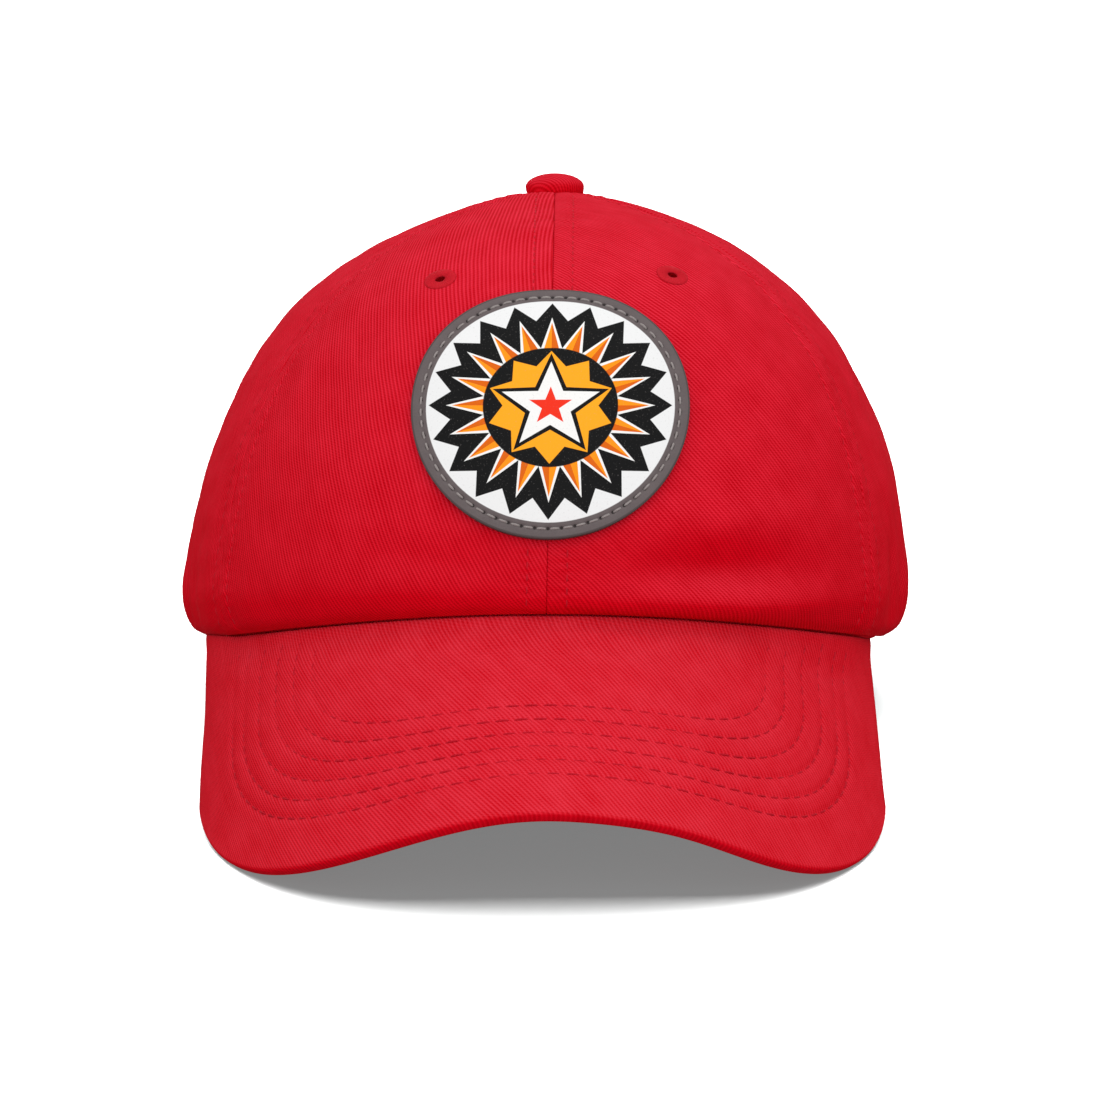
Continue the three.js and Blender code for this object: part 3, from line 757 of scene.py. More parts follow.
def panel_relief(points, azimuth, height, left, right, up, seed):
    """How far the outer face stands out: seam bands, stitch grooves and soft waves."""
    beside = np.minimum(left, right)
    along = up + seed * 3
    sewn = BAND_RISE * (1 - smooth_step(beside, BAND_FROM, BAND_TO))
    sewn -= SEAM_GROOVE * bell(beside - SEAM_ROW, SEAM_GROOVE_REACH)
    for (rise, pitch, reach), middle, shift in (
            (PUCKERS_AT_ROW, SEAM_ROW, 0), (PUCKERS_IN_BAND, BAND_MIDDLE, 2)):
        sewn += rise * puckers(along, pitch, seed + shift) * bell(beside - middle, reach)
    soft = sum(
        rise * waves(points, shortest, longest, WAVE_COUNT, first + seed)
        for (rise, shortest, longest), first in ((LONG_WAVES, 40), (SHORT_WAVES, 60)))
    clear = smooth_step(patch_distance(azimuth, height), PATCH_RADIUS - 0.5, PATCH_RADIUS + 3)
    clear = np.where(np.abs(azimuth) < 90, clear, 1)
    held = np.minimum(1, np.minimum(up / 5, (1 - height) * 12))
    return (sewn * np.minimum(1, up / 2) + soft * held) * clear


# %% One panel
# The inner face follows the outer one's relief only so far.
INNER_SHARE = 0.6
# Stitch rows begin this far over the rim and stop this far short of the patch.
ROW_FOOT, PATCH_CLEARANCE = 3, 0.8
seam_paths = []


def panel(name):
    """One crown panel as a closed shell, and the paths of its two rows of stitches."""
    start, stop, _, _, ribs = PANELS[name]
    seed = list(PANELS).index(name) + 1
    azimuth, height, left, right, up = panel_grid(start, stop)
    normal = crown_normal(azimuth, height)
    flat = crown_point(azimuth, height)
    relief = panel_relief(flat, azimuth, height, left, right, up, seed)
    turn = edge_turn(np.minimum(left, right), EDGE_RADIUS) + edge_turn(up, EDGE_RADIUS)
    turn = np.minimum(turn, EDGE_CLOSES * EDGE_RADIUS)
    outer = flat + normal * (relief - turn)[..., None]
    inner = flat + normal * (INNER_SHARE * relief - CLOTH + turn)[..., None]
    uv = lean_ribs((left - right) / 2, up, ribs)
    for column, side in ((STITCH_COLUMN, left), (-1 - STITCH_COLUMN, right)):
        wide = side[:, column] > SEAM_ROW - 0.2
        seen = wide & (up[:, column] > ROW_FOOT)
        if name.startswith("front"):
            away = patch_distance(azimuth[:, column], height[:, column])
            seen &= away > PATCH_RADIUS + PATCH_CLEARANCE
        seam_paths.append((outer[:, column], normal[:, column], seen))
    return shell(f"{name}_cloth", outer, inner, uv, crown_twill)


panels = {name: panel(name) for name in PANELS}
for name, piece in panels.items():
    print(name, len(piece.data.polygons), "faces")

# %% [markdown]
# ## Openings in the cloth
# The eyelets go right through the cloth, and behind there is an arch to look out of. The
# cutters are a round bar and a round-topped block, subtracted by the Boolean modifier.

# %% Frames on the crown, and the cutters
EYELET_RADIUS = 4.2
EYELET_HOLE = 1.25
EYELET_BARREL = 2.3
ARCH_HALF_WIDTH = 38
ARCH_HEIGHT = 44


def crown_frame(azimuth, up, outward):
    """A matrix at a place on the resting crown, its Z the way out and its X level."""
    height = height_at(azimuth, up)
    normal = way_at_rest(crown_normal(azimuth, height))
    place = (turned(crown_point(azimuth, height, -outward)) + SHIFT) * MM
    side = unit(np.cross([0, 0, 1], normal))
    rise = np.cross(normal, side)
    turn = Matrix(np.stack([side, rise, normal], -1).tolist()).to_4x4()
    return Matrix.Translation(place.tolist()) @ turn


def cut(piece, cutter):
    """Subtracts the cutter from the piece and throws the cutter away."""
    bpy.ops.object.select_all(action="DESELECT")
    bpy.context.view_layer.objects.active = piece
    modifier = piece.modifiers.new("opening", "BOOLEAN")
    modifier.operation = "DIFFERENCE"
    modifier.solver = "EXACT"
    modifier.object = cutter
    bpy.ops.object.modifier_apply(modifier=modifier.name)
    bpy.data.objects.remove(cutter)


# The cutter runs from below the rim, and from the hat's middle to well behind it.
ARCH_FOOT = -10
ARCH_CUT_FROM, ARCH_CUT_TO = 50, 130


def arch_outline(widen, steps=48):
    """The arch as points of x and up, from its left foot over its top to its right."""
    reach = ARCH_HALF_WIDTH + widen
    spring = ARCH_HEIGHT - ARCH_HALF_WIDTH
    turn = np.linspace(math.pi, 0, steps)
    curve = np.stack([reach * np.cos(turn), spring + reach * np.sin(turn)], -1)
    return np.concatenate([[[-reach, ARCH_FOOT]], curve, [[reach, ARCH_FOOT]]])


def arch_cutter():
    """A round-topped block across the back of the crown."""
    outline = arch_outline(0)
    count = len(outline)
    ends = [np.insert(outline, 1, y, axis=1) for y in (ARCH_CUT_FROM, ARCH_CUT_TO)]
    points = (turned(np.concatenate(ends)) + SHIFT) * MM
    ring = [(i, (i + 1) % count, (i + 1) % count + count, i + count) for i in range(count)]
    faces = [list(range(count))[::-1], [i + count for i in range(count)]] + ring
    mesh = bpy.data.meshes.new("arch_cutter")
    mesh.from_pydata(points.tolist(), [], faces)
    cutter = bpy.data.objects.new("arch_cutter", mesh)
    bpy.context.scene.collection.objects.link(cutter)
    face_outwards(cutter)
    return cutter


# %% Cut the eyelet holes and the arch
for name, piece in panels.items():
    _, _, eyelet_at, eyelet_up, _ = PANELS[name]
    bpy.ops.object.select_all(action="DESELECT")
    bpy.ops.mesh.primitive_cylinder_add(
        vertices=32, radius=(EYELET_BARREL + GAP) * MM, depth=8 * MM)
    bore = bpy.context.object
    bore.matrix_world = crown_frame(eyelet_at, eyelet_up, -CLOTH / 2)
    bpy.context.view_layer.update()
    cut(piece, bore)
    if name.startswith("back"):
        cut(piece, arch_cutter())
    print(name, "cut:", len(piece.data.polygons), "faces")

# %% [markdown]
# ## Stitches
# A lockstitch is a short length of thread that comes up through one needle hole, lies on
# the cloth and goes down through the next. One stitch is modelled from a cylinder, and
# every row is copies of it laid along a path, their ends sunk into the cloth.

# %% Stitch thread
def sewing_thread(name, colour, twist_colour):
    """Polyester core thread: smoother than cotton, with a twist across each stitch."""
    material, tree, shader = new_material(name)
    place = add(tree, "ShaderNodeTexCoord").outputs["Object"]
    twist = add(tree, NOISE, {"Vector": place, "Scale": 2600.0, "Detail": 1.0})
    tone = add(tree, MIX, {0: twist, 6: linear(colour), 7: linear(twist_colour)},
               data_type="RGBA")
    bump = add(tree, "ShaderNodeBump",
               {"Strength": 0.5, "Distance": 0.05 * MM, "Height": twist})
    tree.links.new(tone.outputs[2], shader.inputs["Base Color"])
    tree.links.new(bump.outputs[0], shader.inputs["Normal"])
    shader.inputs["Roughness"].default_value = 0.7
    shader.inputs["Specular IOR Level"].default_value = 0.1
    return material


red_thread = sewing_thread("red_polyester_thread", "#A90E1D", "#C3182A")
dark_thread = sewing_thread("dark_red_polyester_thread", "#A0081C", "#BE1226")
grey_thread = sewing_thread("grey_waxed_thread", "#7C7473", "#9C9492")


def model_stitch():
    """One stitch along X, from -0.5 to 0.5, its thickest part 1 in radius."""
    bpy.ops.object.select_all(action="DESELECT")
    bpy.ops.mesh.primitive_cylinder_add(
        vertices=8, radius=1, depth=1, end_fill_type="TRIFAN", rotation=(0, math.pi / 2, 0))
    bpy.ops.object.transform_apply(location=False, rotation=True, scale=False)
    stitch = bpy.context.object
    edit(stitch)
    for place in (-0.36, 0.0, 0.36):
        bpy.ops.mesh.select_all(action="SELECT")
        bpy.ops.mesh.bisect(plane_co=(place, 0, 0), plane_no=(1, 0, 0))
    bpy.ops.object.mode_set(mode="OBJECT")
    corners = np.array([vertex.co for vertex in stitch.data.vertices])
    # Both ends are drawn in to about half.
    corners[:, 1:] *= np.where(np.abs(corners[:, :1]) > 0.45, 0.55, 1.0)
    faces = [list(face.vertices) for face in stitch.data.polygons]
    bpy.data.objects.remove(stitch)
    return corners, faces


STITCH_CORNERS, STITCH_FACES = model_stitch()
print("one stitch:", len(STITCH_FACES), "faces")


# Pitch, length, radius of the thread, and how deep a stitch's ends sink in.
CROWN_STITCH = (2.9, 2.1, 0.2, 0.3)
BAND_STITCH = (3.4, 2.4, 0.2, 0.3)
STRAP_STITCH = (3.1, 2.2, 0.2, 0.3)


def row_of_stitches(path, normals, pitch, length, radius, sink, start=0.0):
    """Stitches along a path of the level hat: their corners, in millimetres."""
    run = run_along(path)

    def at(place, rows):
        """The rows' values at a length along the path."""
        return np.stack([np.interp(place, run, rows[:, i]) for i in range(3)], -1)

    laid = []
    for begin in np.arange(start, run[-1] - length, pitch):
        place = begin + (STITCH_CORNERS[:, 0] + 0.5) * length
        up = unit(at(place, normals))
        side = unit(np.cross(up, at(place + 0.4, path) - at(place - 0.4, path)))
        rise = STITCH_CORNERS[:, 2] * radius - sink * np.abs(2 * STITCH_CORNERS[:, 0]) ** 3
        aside = side * (STITCH_CORNERS[:, 1] * radius)[:, None]
        laid.append(at(place, path) + aside + up * rise[:, None])
    return laid


def stitches(name, laid, material):
    """All the stitches of some rows as one piece."""
    count = len(STITCH_CORNERS)
    faces = [[i + k * count for i in face] for k in range(len(laid)) for face in STITCH_FACES]
    points = settle(np.concatenate(laid))
    uv = np.zeros((len(points), 2))
    return mesh_piece(name, points, faces, uv, material)


def runs_of(seen):
    """The stretches of a path that are marked as seen."""
    marks = np.flatnonzero(np.diff(np.concatenate([[0], seen.astype(int), [0]])))
    return list(zip(marks[::2], marks[1::2]))


# %% Seam stitches
# Behind, the rows end beside and above the arch, short of its hem.
CLEAR_BESIDE, CLEAR_ABOVE = 7, 6
SHORTEST_ROW = 4
laid = []
for points, normals, seen in seam_paths:
    if points[:, 1].mean() > 0:
        beside = np.abs(points[:, 0]) > ARCH_HALF_WIDTH + CLEAR_BESIDE
        seen = seen & (beside | (points[:, 2] > ARCH_HEIGHT + CLEAR_ABOVE))
    for first, last in runs_of(seen):
        if last - first > SHORTEST_ROW:
            laid += row_of_stitches(points[first:last], normals[first:last], *CROWN_STITCH)
crown_stitches = stitches("crown_stitches", laid, red_thread)
print("seam stitches:", len(laid))

# %% [markdown]
# ## The arch's hem
# The cut edge behind is turned over and stitched down. It is a narrow U of cloth along
# the arch, so its section is drawn once and swept from foot to foot.

# %% Points behind on the crown, by x and height over the rim
def behind_at(x, up):
    """Azimuth and height of a point on the back of the crown."""
    x, up = np.broadcast_arrays(np.asarray(x, float), up)
    height = np.full(x.shape, 0.3)
    azimuth = np.full(x.shape, 180.0)
    for _ in range(12):
        out = np.maximum(spline(SIDE_OUT, height), np.abs(x) + 1)
        azimuth = 180 - np.degrees(np.arcsin(x / out))
        height = height_at(azimuth, np.maximum(up, 0))
    return np.where(azimuth > 180, azimuth - 360, azimuth), height


HEM_STEPS = 60
HEM_FOOT = 0.8
# Where the hem's row of stitches lies: away from the opening, and out from the cloth.
HEM_ROW, HEM_ROW_DEPTH = 3.9, -0.42
# Away from the opening and into the cloth, round the edge and back again.
HEM_SECTION = [
    (6.0, -0.05), (5.7, -0.42), (4.4, -0.6), (3.9, -0.42), (3.4, -0.6), (1.2, -0.68), (0.1, -0.62),
    (-0.5, -0.3), (-0.78, 0.3), (-0.8, 1.0), (-0.5, 1.75), (0.1, 2.05), (3.4, 1.95), (3.9, 1.75),
    (4.4, 1.95), (5.7, 1.8), (6.0, 1.5), (5.6, 1.44), (0.3, 1.46), (0.08, 1.2), (0.08, 0.2),
    (0.3, -0.04),
]


def arch_hem():
    """The turned edge round the arch, swept along it."""
    rings = []
    for away, depth in HEM_SECTION:
        outline = arch_outline(away, HEM_STEPS)
        outline[[0, -1], 1] = HEM_FOOT
        azimuth, height = behind_at(outline[:, 0], outline[:, 1])
        rings.append(crown_point(azimuth, height, depth))
    loops = np.stack(rings, 1)
    stations, around = loops.shape[:2]
    over = np.tile(np.arange(around) * 0.8, (stations, 1)).ravel()
    along = np.repeat(run_along(loops[:, 0]), around)
    at = np.arange(stations * around).reshape(stations, around)
    after = np.roll(at, -1, axis=1)
    quads = np.stack([at[:-1], after[:-1], after[1:], at[1:]], -1).reshape(-1, 4).tolist()
    caps = [at[0][::-1].tolist(), at[-1].tolist()]
    hem = mesh_piece("arch_hem", settle(loops.reshape(-1, 3)), quads + caps,
                     lean_ribs(over, along, 45), crown_twill)
    face_outwards(hem)
    outline = arch_outline(HEM_ROW, HEM_STEPS)[1:-1]
    azimuth, height = behind_at(outline[:, 0], outline[:, 1])
    return hem, crown_point(azimuth, height, HEM_ROW_DEPTH), crown_normal(azimuth, height)


hem, hem_path, hem_normals = arch_hem()
hem_laid = row_of_stitches(hem_path, hem_normals, *CROWN_STITCH)
hem_stitches = stitches("arch_hem_stitches", hem_laid, red_thread)
print("hem:", len(hem.data.polygons), "faces and", len(hem_laid), "stitches")

# %% [markdown]
# ## The peak
# Two layers of twill are stretched over a stiff board, and six rows of stitches run
# through all of it. The thread pulls the cloth down, so each row lies in a groove. The
# grid is fine enough to carry those grooves, and it closes up towards the turned edge.

# %% The rows of stitches on the peak
PEAK_STITCH_PITCH = 4.25
PEAK_STITCH_LENGTH = 3.1
# How far over the board the rows' ends begin, as a share of the ruling.
PEAK_ROW_FOOT = 0.03
# The reach of each row at the middle and its half width, from the inside out.
PEAK_STITCH_ROWS = [
    (29.4, 51.4), (34.2, 55.8), (38.9, 60.1), (43.6, 64.2), (48.2, 67.8), (52.9, 70.6),
]
PEAK_ROW_ACROSS = 3


def reach_to_forward(x, reach):
    """The share of the ruling at which it reaches so far over the board."""
    root = peak_root(x)
    forth = (root[..., 1] + PEAK_ROOT_OUT) * math.cos(PEAK_SLOPE)
    behind = -forth - (root[..., 2] - PEAK_ROOT_UP) * math.sin(PEAK_SLOPE)
    return (reach - behind) / np.maximum(peak_reach(x) - behind, 1)


def peak_row_path(depth, half_width):
    """One row: up from the crown at one temple, along the edge and back at the other."""
    turn = np.linspace(-np.pi / 2, np.pi / 2, 240)
    x = half_width * np.sin(turn)
    reach = peak_reach(x, depth, half_width, PEAK_ROW_ACROSS)
    forward = reach_to_forward(x, reach)
    rise = np.linspace(PEAK_ROW_FOOT, forward[0], 40)[:-1]
    fall = np.linspace(PEAK_ROW_FOOT, forward[-1], 40)[:-1][::-1]
    x = np.concatenate([np.full(len(rise), x[0]), x, np.full(len(fall), x[-1])])
    return x, np.concatenate([rise, forward, fall])


peak_rows = [peak_row_path(*row) for row in PEAK_STITCH_ROWS]
row_points = [peak_point(x, forward, 0.0) for x, forward in peak_rows]
row_tree = kdtree.KDTree(sum(len(points) for points in row_points))
for number, point in enumerate(np.concatenate(row_points)):
    row_tree.insert(Vector(point), number)
row_tree.balance()
print("peak rows:", [len(points) for points in row_points])

# %% The peak's shell
PEAK_COLUMNS = 300
PEAK_ROWS = 104
# Columns lie closer together towards the sides.
PEAK_CROWDING = 0.38
PEAK_EDGE_RADIUS = 1.1
# Between these shares of the ruling the rows at the temples grow as deep as in front.
PEAK_SHALLOW = (0.3, 0.55)
PEAK_GROOVE, PEAK_GROOVE_REACH = 0.34, 0.75
# Beside each groove the cloth stands up a little.
PEAK_RIDGE, PEAK_RIDGE_FROM_ROW, PEAK_RIDGE_REACH = 0.05, 2.2, 1.1
PEAK_WAVES, PEAK_WAVE_COUNT = (0.1, 18, 40), 8
PEAK_SWELL_TEMPLE, PEAK_SWELL_FRONT = 0.4, 0.45
PEAK_SWELL_PLACE, PEAK_SWELL_REACH = 1.8, 1.15
PEAK_CORNER_WIDTH, PEAK_CORNER_RISE = 8, 0.8


def peak_piece():
    """The peak as a closed shell with its stitch grooves."""
    share = np.linspace(-1, 1, PEAK_COLUMNS)
    crowded = PEAK_CROWDING * np.sin(np.pi * share / 2)
    x_row = PEAK_HALF_WIDTH * ((1 - PEAK_CROWDING) * share + crowded)
    rulings = np.linalg.norm(peak_top(x_row, 1.0) - peak_top(x_row, 0.0), axis=-1)
    close = np.array([0, 0.1, 0.25, 0.45, 0.7, 1.0, 1.4])
    forwards = []
    for length in rulings:
        rows = np.linspace(0, length - close[-1], PEAK_ROWS - len(close) + 1)[:-1]
        forwards.append(np.concatenate([rows, length - close[::-1]]) / length)
    forward = np.array(forwards).T
    x = np.tile(x_row, (PEAK_ROWS, 1))
    from_edge = (1 - forward) * rulings
    # The sides are short edges too, so the distance from them counts as well.
    from_side = np.abs(PEAK_HALF_WIDTH - np.abs(x)) * 1.3 + 0.02
    # Right at the root they are sewn in square.
    from_root = forward * rulings
    from_side += 3 * (1 - smooth_step(from_root, 0.5, 3))
    turn = edge_turn(np.minimum(from_edge, from_side), PEAK_EDGE_RADIUS)
    top = peak_point(x, forward, 0.0)
    found = [row_tree.find(Vector(p))[2] for p in top.reshape(-1, 3)]
    distance = np.array(found).reshape(x.shape)
    ahead = 0.5 + 0.5 * smooth_step(forward, *PEAK_SHALLOW)
    groove = PEAK_GROOVE * bell(distance, PEAK_GROOVE_REACH)
    groove -= PEAK_RIDGE * bell(distance - PEAK_RIDGE_FROM_ROW, PEAK_RIDGE_REACH)
    groove *= ahead
    rise, shortest, longest = PEAK_WAVES
    soft = rise * waves(top, shortest, longest, PEAK_WAVE_COUNT, 7)
    groove += soft * smooth_step(from_edge, 0, 6)
    groove *= smooth_step(forward, 0.02, 0.08)
    # At the seam the cloth swells up into the gap below the crown's rolled edge.
    swell = PEAK_SWELL_TEMPLE + PEAK_SWELL_FRONT * (1 - smooth_step(np.abs(x), 55, 75))
    groove -= swell * bell(from_root - PEAK_SWELL_PLACE, PEAK_SWELL_REACH)
    outer = peak_point(x, forward, turn + groove)
    inner = peak_point(x, forward, PEAK_THICKNESS - turn - 0.8 * groove)
    # The corners keep to the side's own line right up to the crown.
    corner = smooth_step(np.abs(x), PEAK_HALF_WIDTH - PEAK_CORNER_WIDTH, PEAK_HALF_WIDTH)
    corner *= 1 - smooth_step(forward, 0, PEAK_ROOT_EASE)
    for face in (outer, inner):
        face[..., 0] += PEAK_SWAY * (PEAK_SWAY_FROM_UP - face[..., 2]) * corner
        face[..., 2] += PEAK_CORNER_RISE * corner * (x < 0)
    # Rows run from the root out, so the face is turned by swapping its columns.
    flip = slice(None, None, -1)
    run = run_along(top[PEAK_ROWS // 2])
    across = np.tile(run - run[-1] / 2, (PEAK_ROWS, 1))
    uv = lean_ribs(across, -forward * rulings, -33)
    return shell("peak_cloth", outer[:, flip], inner[:, flip], uv[:, flip], peak_twill)


peak = peak_piece()
print("peak:", len(peak.data.polygons), "faces")

# %% The peak's stitches
# The thread's radius, and how deep a stitch's ends sink in.
TOP_THREAD, UNDER_THREAD = (0.22, 0.22), (0.24, 0.35)
# How far the rows lie below each face.
TOP_DEPTH, UNDER_DEPTH = 0.2, 0.16
ROW_SHIFT = 0.7
BURIED_LEFT, BURIED_RIGHT = 0.12, 0.04
top_laid, under_laid = [], []
for number, (x, forward) in enumerate(peak_rows):
    # Beside the temples the thread sinks into the ribs and hardly shows.
    buried = np.where(x < 0, BURIED_LEFT, BURIED_RIGHT)
    buried *= 1 - smooth_step(forward, *PEAK_SHALLOW)
    above = peak_point(x, forward, TOP_DEPTH + buried)
    below = peak_point(x, forward, PEAK_THICKNESS - UNDER_DEPTH)
    normals = peak_normal(x, forward)
    # Each row starts a little later than the one inside it.
    start = ROW_SHIFT * number
    top_laid += row_of_stitches(
        above, normals, PEAK_STITCH_PITCH, PEAK_STITCH_LENGTH, *TOP_THREAD, start)
    under_laid += row_of_stitches(
        below, -normals, PEAK_STITCH_PITCH, PEAK_STITCH_LENGTH, *UNDER_THREAD, start)
peak_stitches = stitches("peak_stitches", top_laid, dark_thread)
peak_under_stitches = stitches("peak_under_stitches", under_laid, dark_thread)
print("peak stitches:", len(top_laid), "above and", len(under_laid), "below")

# %% [markdown]
# ## The sweatband
# A strip of the same twill is sewn inside the rim and keeps the hat in shape on the head.
# It is out of sight in the picture, so it is finished plainly: a straight strip with a
# folded top edge and one row of stitches along its foot.

# %% Sweatband
SWEATBAND_HEIGHT = 29
SWEATBAND_THICKNESS = 1.2
SWEATBAND_BELOW = 3
SWEATBAND_EASE = 0.5
# How high its rows of stitches lie, and how deep their grooves are.
SWEATBAND_ROWS = {3.8: 0.2, 26: 0.15}
STRAP_END = 37
SWEATBAND_END = 180 - STRAP_END - math.degrees(2 * GAP / SECTIONS[0, BACK_OUT])


def band_place(azimuth, share, depth):
    """A point of the sweatband, from its foot to its top edge."""
    inward = CLOTH + GAP + depth
    below = SWEATBAND_BELOW * np.maximum(0, np.cos(np.radians(azimuth)))
    foot = rim_point(azimuth, -inward, GAP - below)
    rim_up = crown_base(azimuth, 0.0)[..., 2]
    height = height_at(azimuth, rim_up + SWEATBAND_HEIGHT)
    top = crown_point(azimuth, height, inward + SWEATBAND_EASE)
    return foot + (top - foot) * share[..., None]


def sweatband_piece():
    """The strip inside the rim as a closed shell."""
    ups = np.array([0, 0.15, 0.4, 0.8, 2, 3.2, 3.8, 4.1, 4.5, 5.2, 7, 10, 13, 16, 19, 22, 24.5,
                    25.6, 26, 26.5, 27.6, 28.2, 28.6, 28.85, 29])
    azimuth, up = np.meshgrid(np.linspace(-SWEATBAND_END, SWEATBAND_END, 240), ups)
    share = up / SWEATBAND_HEIGHT
    edge = np.minimum(up, SWEATBAND_HEIGHT - up)
    turn = edge_turn(edge, 0.55)
    groove = sum(depth * bell(up - row, 0.7) for row, depth in SWEATBAND_ROWS.items())
    outer = band_place(azimuth, share, turn)
    inner = band_place(azimuth, share, SWEATBAND_THICKNESS - turn - groove)
    around = np.radians(azimuth) * 90
    return shell("sweatband_cloth", outer, inner, lean_ribs(around, up, 40), crown_twill)


sweatband = sweatband_piece()
band_turns = np.linspace(-SWEATBAND_END + 1, SWEATBAND_END - 1, 300)
band_laid = []
for up in SWEATBAND_ROWS:
    share = np.full(band_turns.shape, up / SWEATBAND_HEIGHT)
    path = band_place(band_turns, share, SWEATBAND_THICKNESS - 0.1)
    band_laid += row_of_stitches(path, -level_way(band_turns), *BAND_STITCH)
sweatband_stitches = stitches("sweatband_stitches", band_laid, red_thread)
print("sweatband:", len(sweatband.data.polygons), "faces and", len(band_laid), "stitches")

# %% [markdown]
# ## The strap and its buckle
# Behind, a strap closes the arch. Its ends are sewn in below the crown's edge, and a
# plain metal slide holds it. The slide is hidden in the picture, so it has no working
# parts. It is modelled from a box whose ends are taken off and whose walls are then
# given their thickness and soft edges.

# %% Strap
STRAP_HEIGHT = 20
STRAP_THICKNESS = 1.6
STRAP_RISE = 5
STRAP_ROW = 2.5


def strap_place(azimuth, up, depth):
    """A point of the strap; it hangs lowest in the middle of the arch."""
    rise = STRAP_RISE * ((azimuth - 180) / STRAP_END) ** 2
    return rim_point(azimuth, -STRAP_INWARD - depth, rise + up)


def strap_piece():
    """The strap as a closed shell with a groove for each row of stitches."""
    low = np.array([0, 0.15, 0.4, 0.8, 1.4, 2.1, 2.5, 2.9, 3.4, 4.4])
    ups = np.concatenate([low, np.linspace(6, STRAP_HEIGHT - 6, 7), STRAP_HEIGHT - low[::-1]])
    azimuth, up = np.meshgrid(np.linspace(180 - STRAP_END, 180 + STRAP_END, 130), ups)
    edge = np.minimum(up, STRAP_HEIGHT - up)
    along = (azimuth - 180) * 1.65
    turn = edge_turn(edge, 0.75)
    groove = 0.22 * bell(edge - STRAP_ROW, 0.7)
    soft = 0.06 * puckers(along, 3.3, 4) * bell(edge - STRAP_ROW, 1.6)
    outer = strap_place(azimuth, up, turn + groove + soft)
    inner = strap_place(azimuth, up, STRAP_THICKNESS - turn - groove)
    return shell("back_strap_cloth", outer, inner, lean_ribs(along, up, 30), crown_twill)


strap = strap_piece()
strap_turns = np.linspace(180 - STRAP_END + 1, 180 + STRAP_END - 1, 160)
strap_laid = []
for up in (STRAP_ROW, STRAP_HEIGHT - STRAP_ROW):
    outside = strap_place(strap_turns, up, 0.15)
    strap_laid += row_of_stitches(outside, level_way(strap_turns), *STRAP_STITCH)
strap_stitches = stitches("back_strap_stitches", strap_laid, red_thread)
print("strap:", len(strap.data.polygons), "faces and", len(strap_laid), "stitches")


# %% Antique brass
def antique_brass():
    """Brass, plated and rubbed: cloudy, darker and rougher in some places, brighter and smoother
    in others.
    """
    material, tree, shader = new_material("antique_brass")
    place = add(tree, "ShaderNodeTexCoord").outputs["Object"]
    cloud = add(tree, NOISE, {"Vector": place, "Scale": 340.0, "Detail": 5.0})
    tone = add(tree, MIX, {0: cloud, 6: linear("#6B5A3C"), 7: linear("#B09A68")},
               data_type="RGBA")
    rough = add(tree, "ShaderNodeMapRange", {"Value": cloud, "To Min": 0.52, "To Max": 0.3})
    bump = add(tree, "ShaderNodeBump",
               {"Strength": 0.25, "Distance": 0.05 * MM, "Height": cloud})
    tree.links.new(tone.outputs[2], shader.inputs["Base Color"])
    tree.links.new(rough.outputs[0], shader.inputs["Roughness"])
    tree.links.new(bump.outputs[0], shader.inputs["Normal"])
    shader.inputs["Metallic"].default_value = 1.0
    return material


brass = antique_brass()

# %% Buckle
BUCKLE_AT = 158
BUCKLE_LENGTH = 14
BUCKLE_WALL = 1.0
SMOOTH_BELOW = math.radians(35)


def select_faces(piece, wanted):
    """Selects the faces whose normal is wanted."""
    bpy.ops.mesh.select_mode(type="FACE")
    bpy.ops.mesh.select_all(action="DESELECT")
    bpy.ops.object.mode_set(mode="OBJECT")
    for face in piece.data.polygons:
        face.select = bool(wanted(face.normal))
    bpy.ops.object.mode_set(mode="EDIT")


def buckle_piece():
    """A slide round the strap: an open box with thick walls and softened edges."""
    at_buckle = np.array(float(BUCKLE_AT))
    middle = settle(strap_place(at_buckle, STRAP_HEIGHT / 2, STRAP_THICKNESS / 2))
    out = way_at_rest(level_way(BUCKLE_AT))
    rise_way = way_at_rest([0, 0, 1])
    along = np.cross(rise_way, out)
    bpy.ops.object.select_all(action="DESELECT")
    bpy.ops.mesh.primitive_cube_add(size=1)
    piece = bpy.context.object
    piece.name = "buckle_slide"
    added = 2 * (GAP + BUCKLE_WALL)
    size = Vector((BUCKLE_LENGTH, STRAP_HEIGHT + added, STRAP_THICKNESS + added))
    piece.scale = size * MM
    bpy.ops.object.transform_apply(location=False, rotation=False, scale=True)
    edit(piece)
    select_faces(piece, lambda normal: abs(normal.x) > 0.9)
    bpy.ops.mesh.delete(type="FACE")
    bpy.ops.object.mode_set(mode="OBJECT")
    wall = piece.modifiers.new("wall", "SOLIDIFY")
    wall.thickness = BUCKLE_WALL * MM
    wall.offset = -1
    bpy.ops.object.modifier_apply(modifier=wall.name)
    soft = piece.modifiers.new("soft_edges", "BEVEL")
    soft.width, soft.segments, soft.limit_method = 0.32 * MM, 3, "ANGLE"
    bpy.ops.object.modifier_apply(modifier=soft.name)
    turn = Matrix(np.stack([along, rise_way, out], -1).tolist()).to_4x4()
    piece.data.transform(Matrix.Translation(middle.tolist()) @ turn)
    piece.data.materials.append(brass)
    bpy.ops.object.shade_smooth_by_angle(angle=SMOOTH_BELOW)
    return piece


buckle = buckle_piece()
print("buckle:", len(buckle.data.polygons), "faces")

# %% [markdown]
# ## The eyelets
# These are sewn, not metal: close satin stitches run out from a small hole and make a
# flat ring of the hat's own colour. It starts as a torus with many segments, and every
# other segment is drawn in a little, so that each ridge is one stitch.

# %% Satin stitches and one eyelet
satin = sewing_thread("red_satin_stitch", "#AC0A18", "#CC1C2E")
EYELET_STITCHES = 44
EYELET_RIDGE = 0.09
# The ring is a little lower than wide, and much flatter than a round tube.
EYELET_SHAPE = (1, 0.84, 0.3)


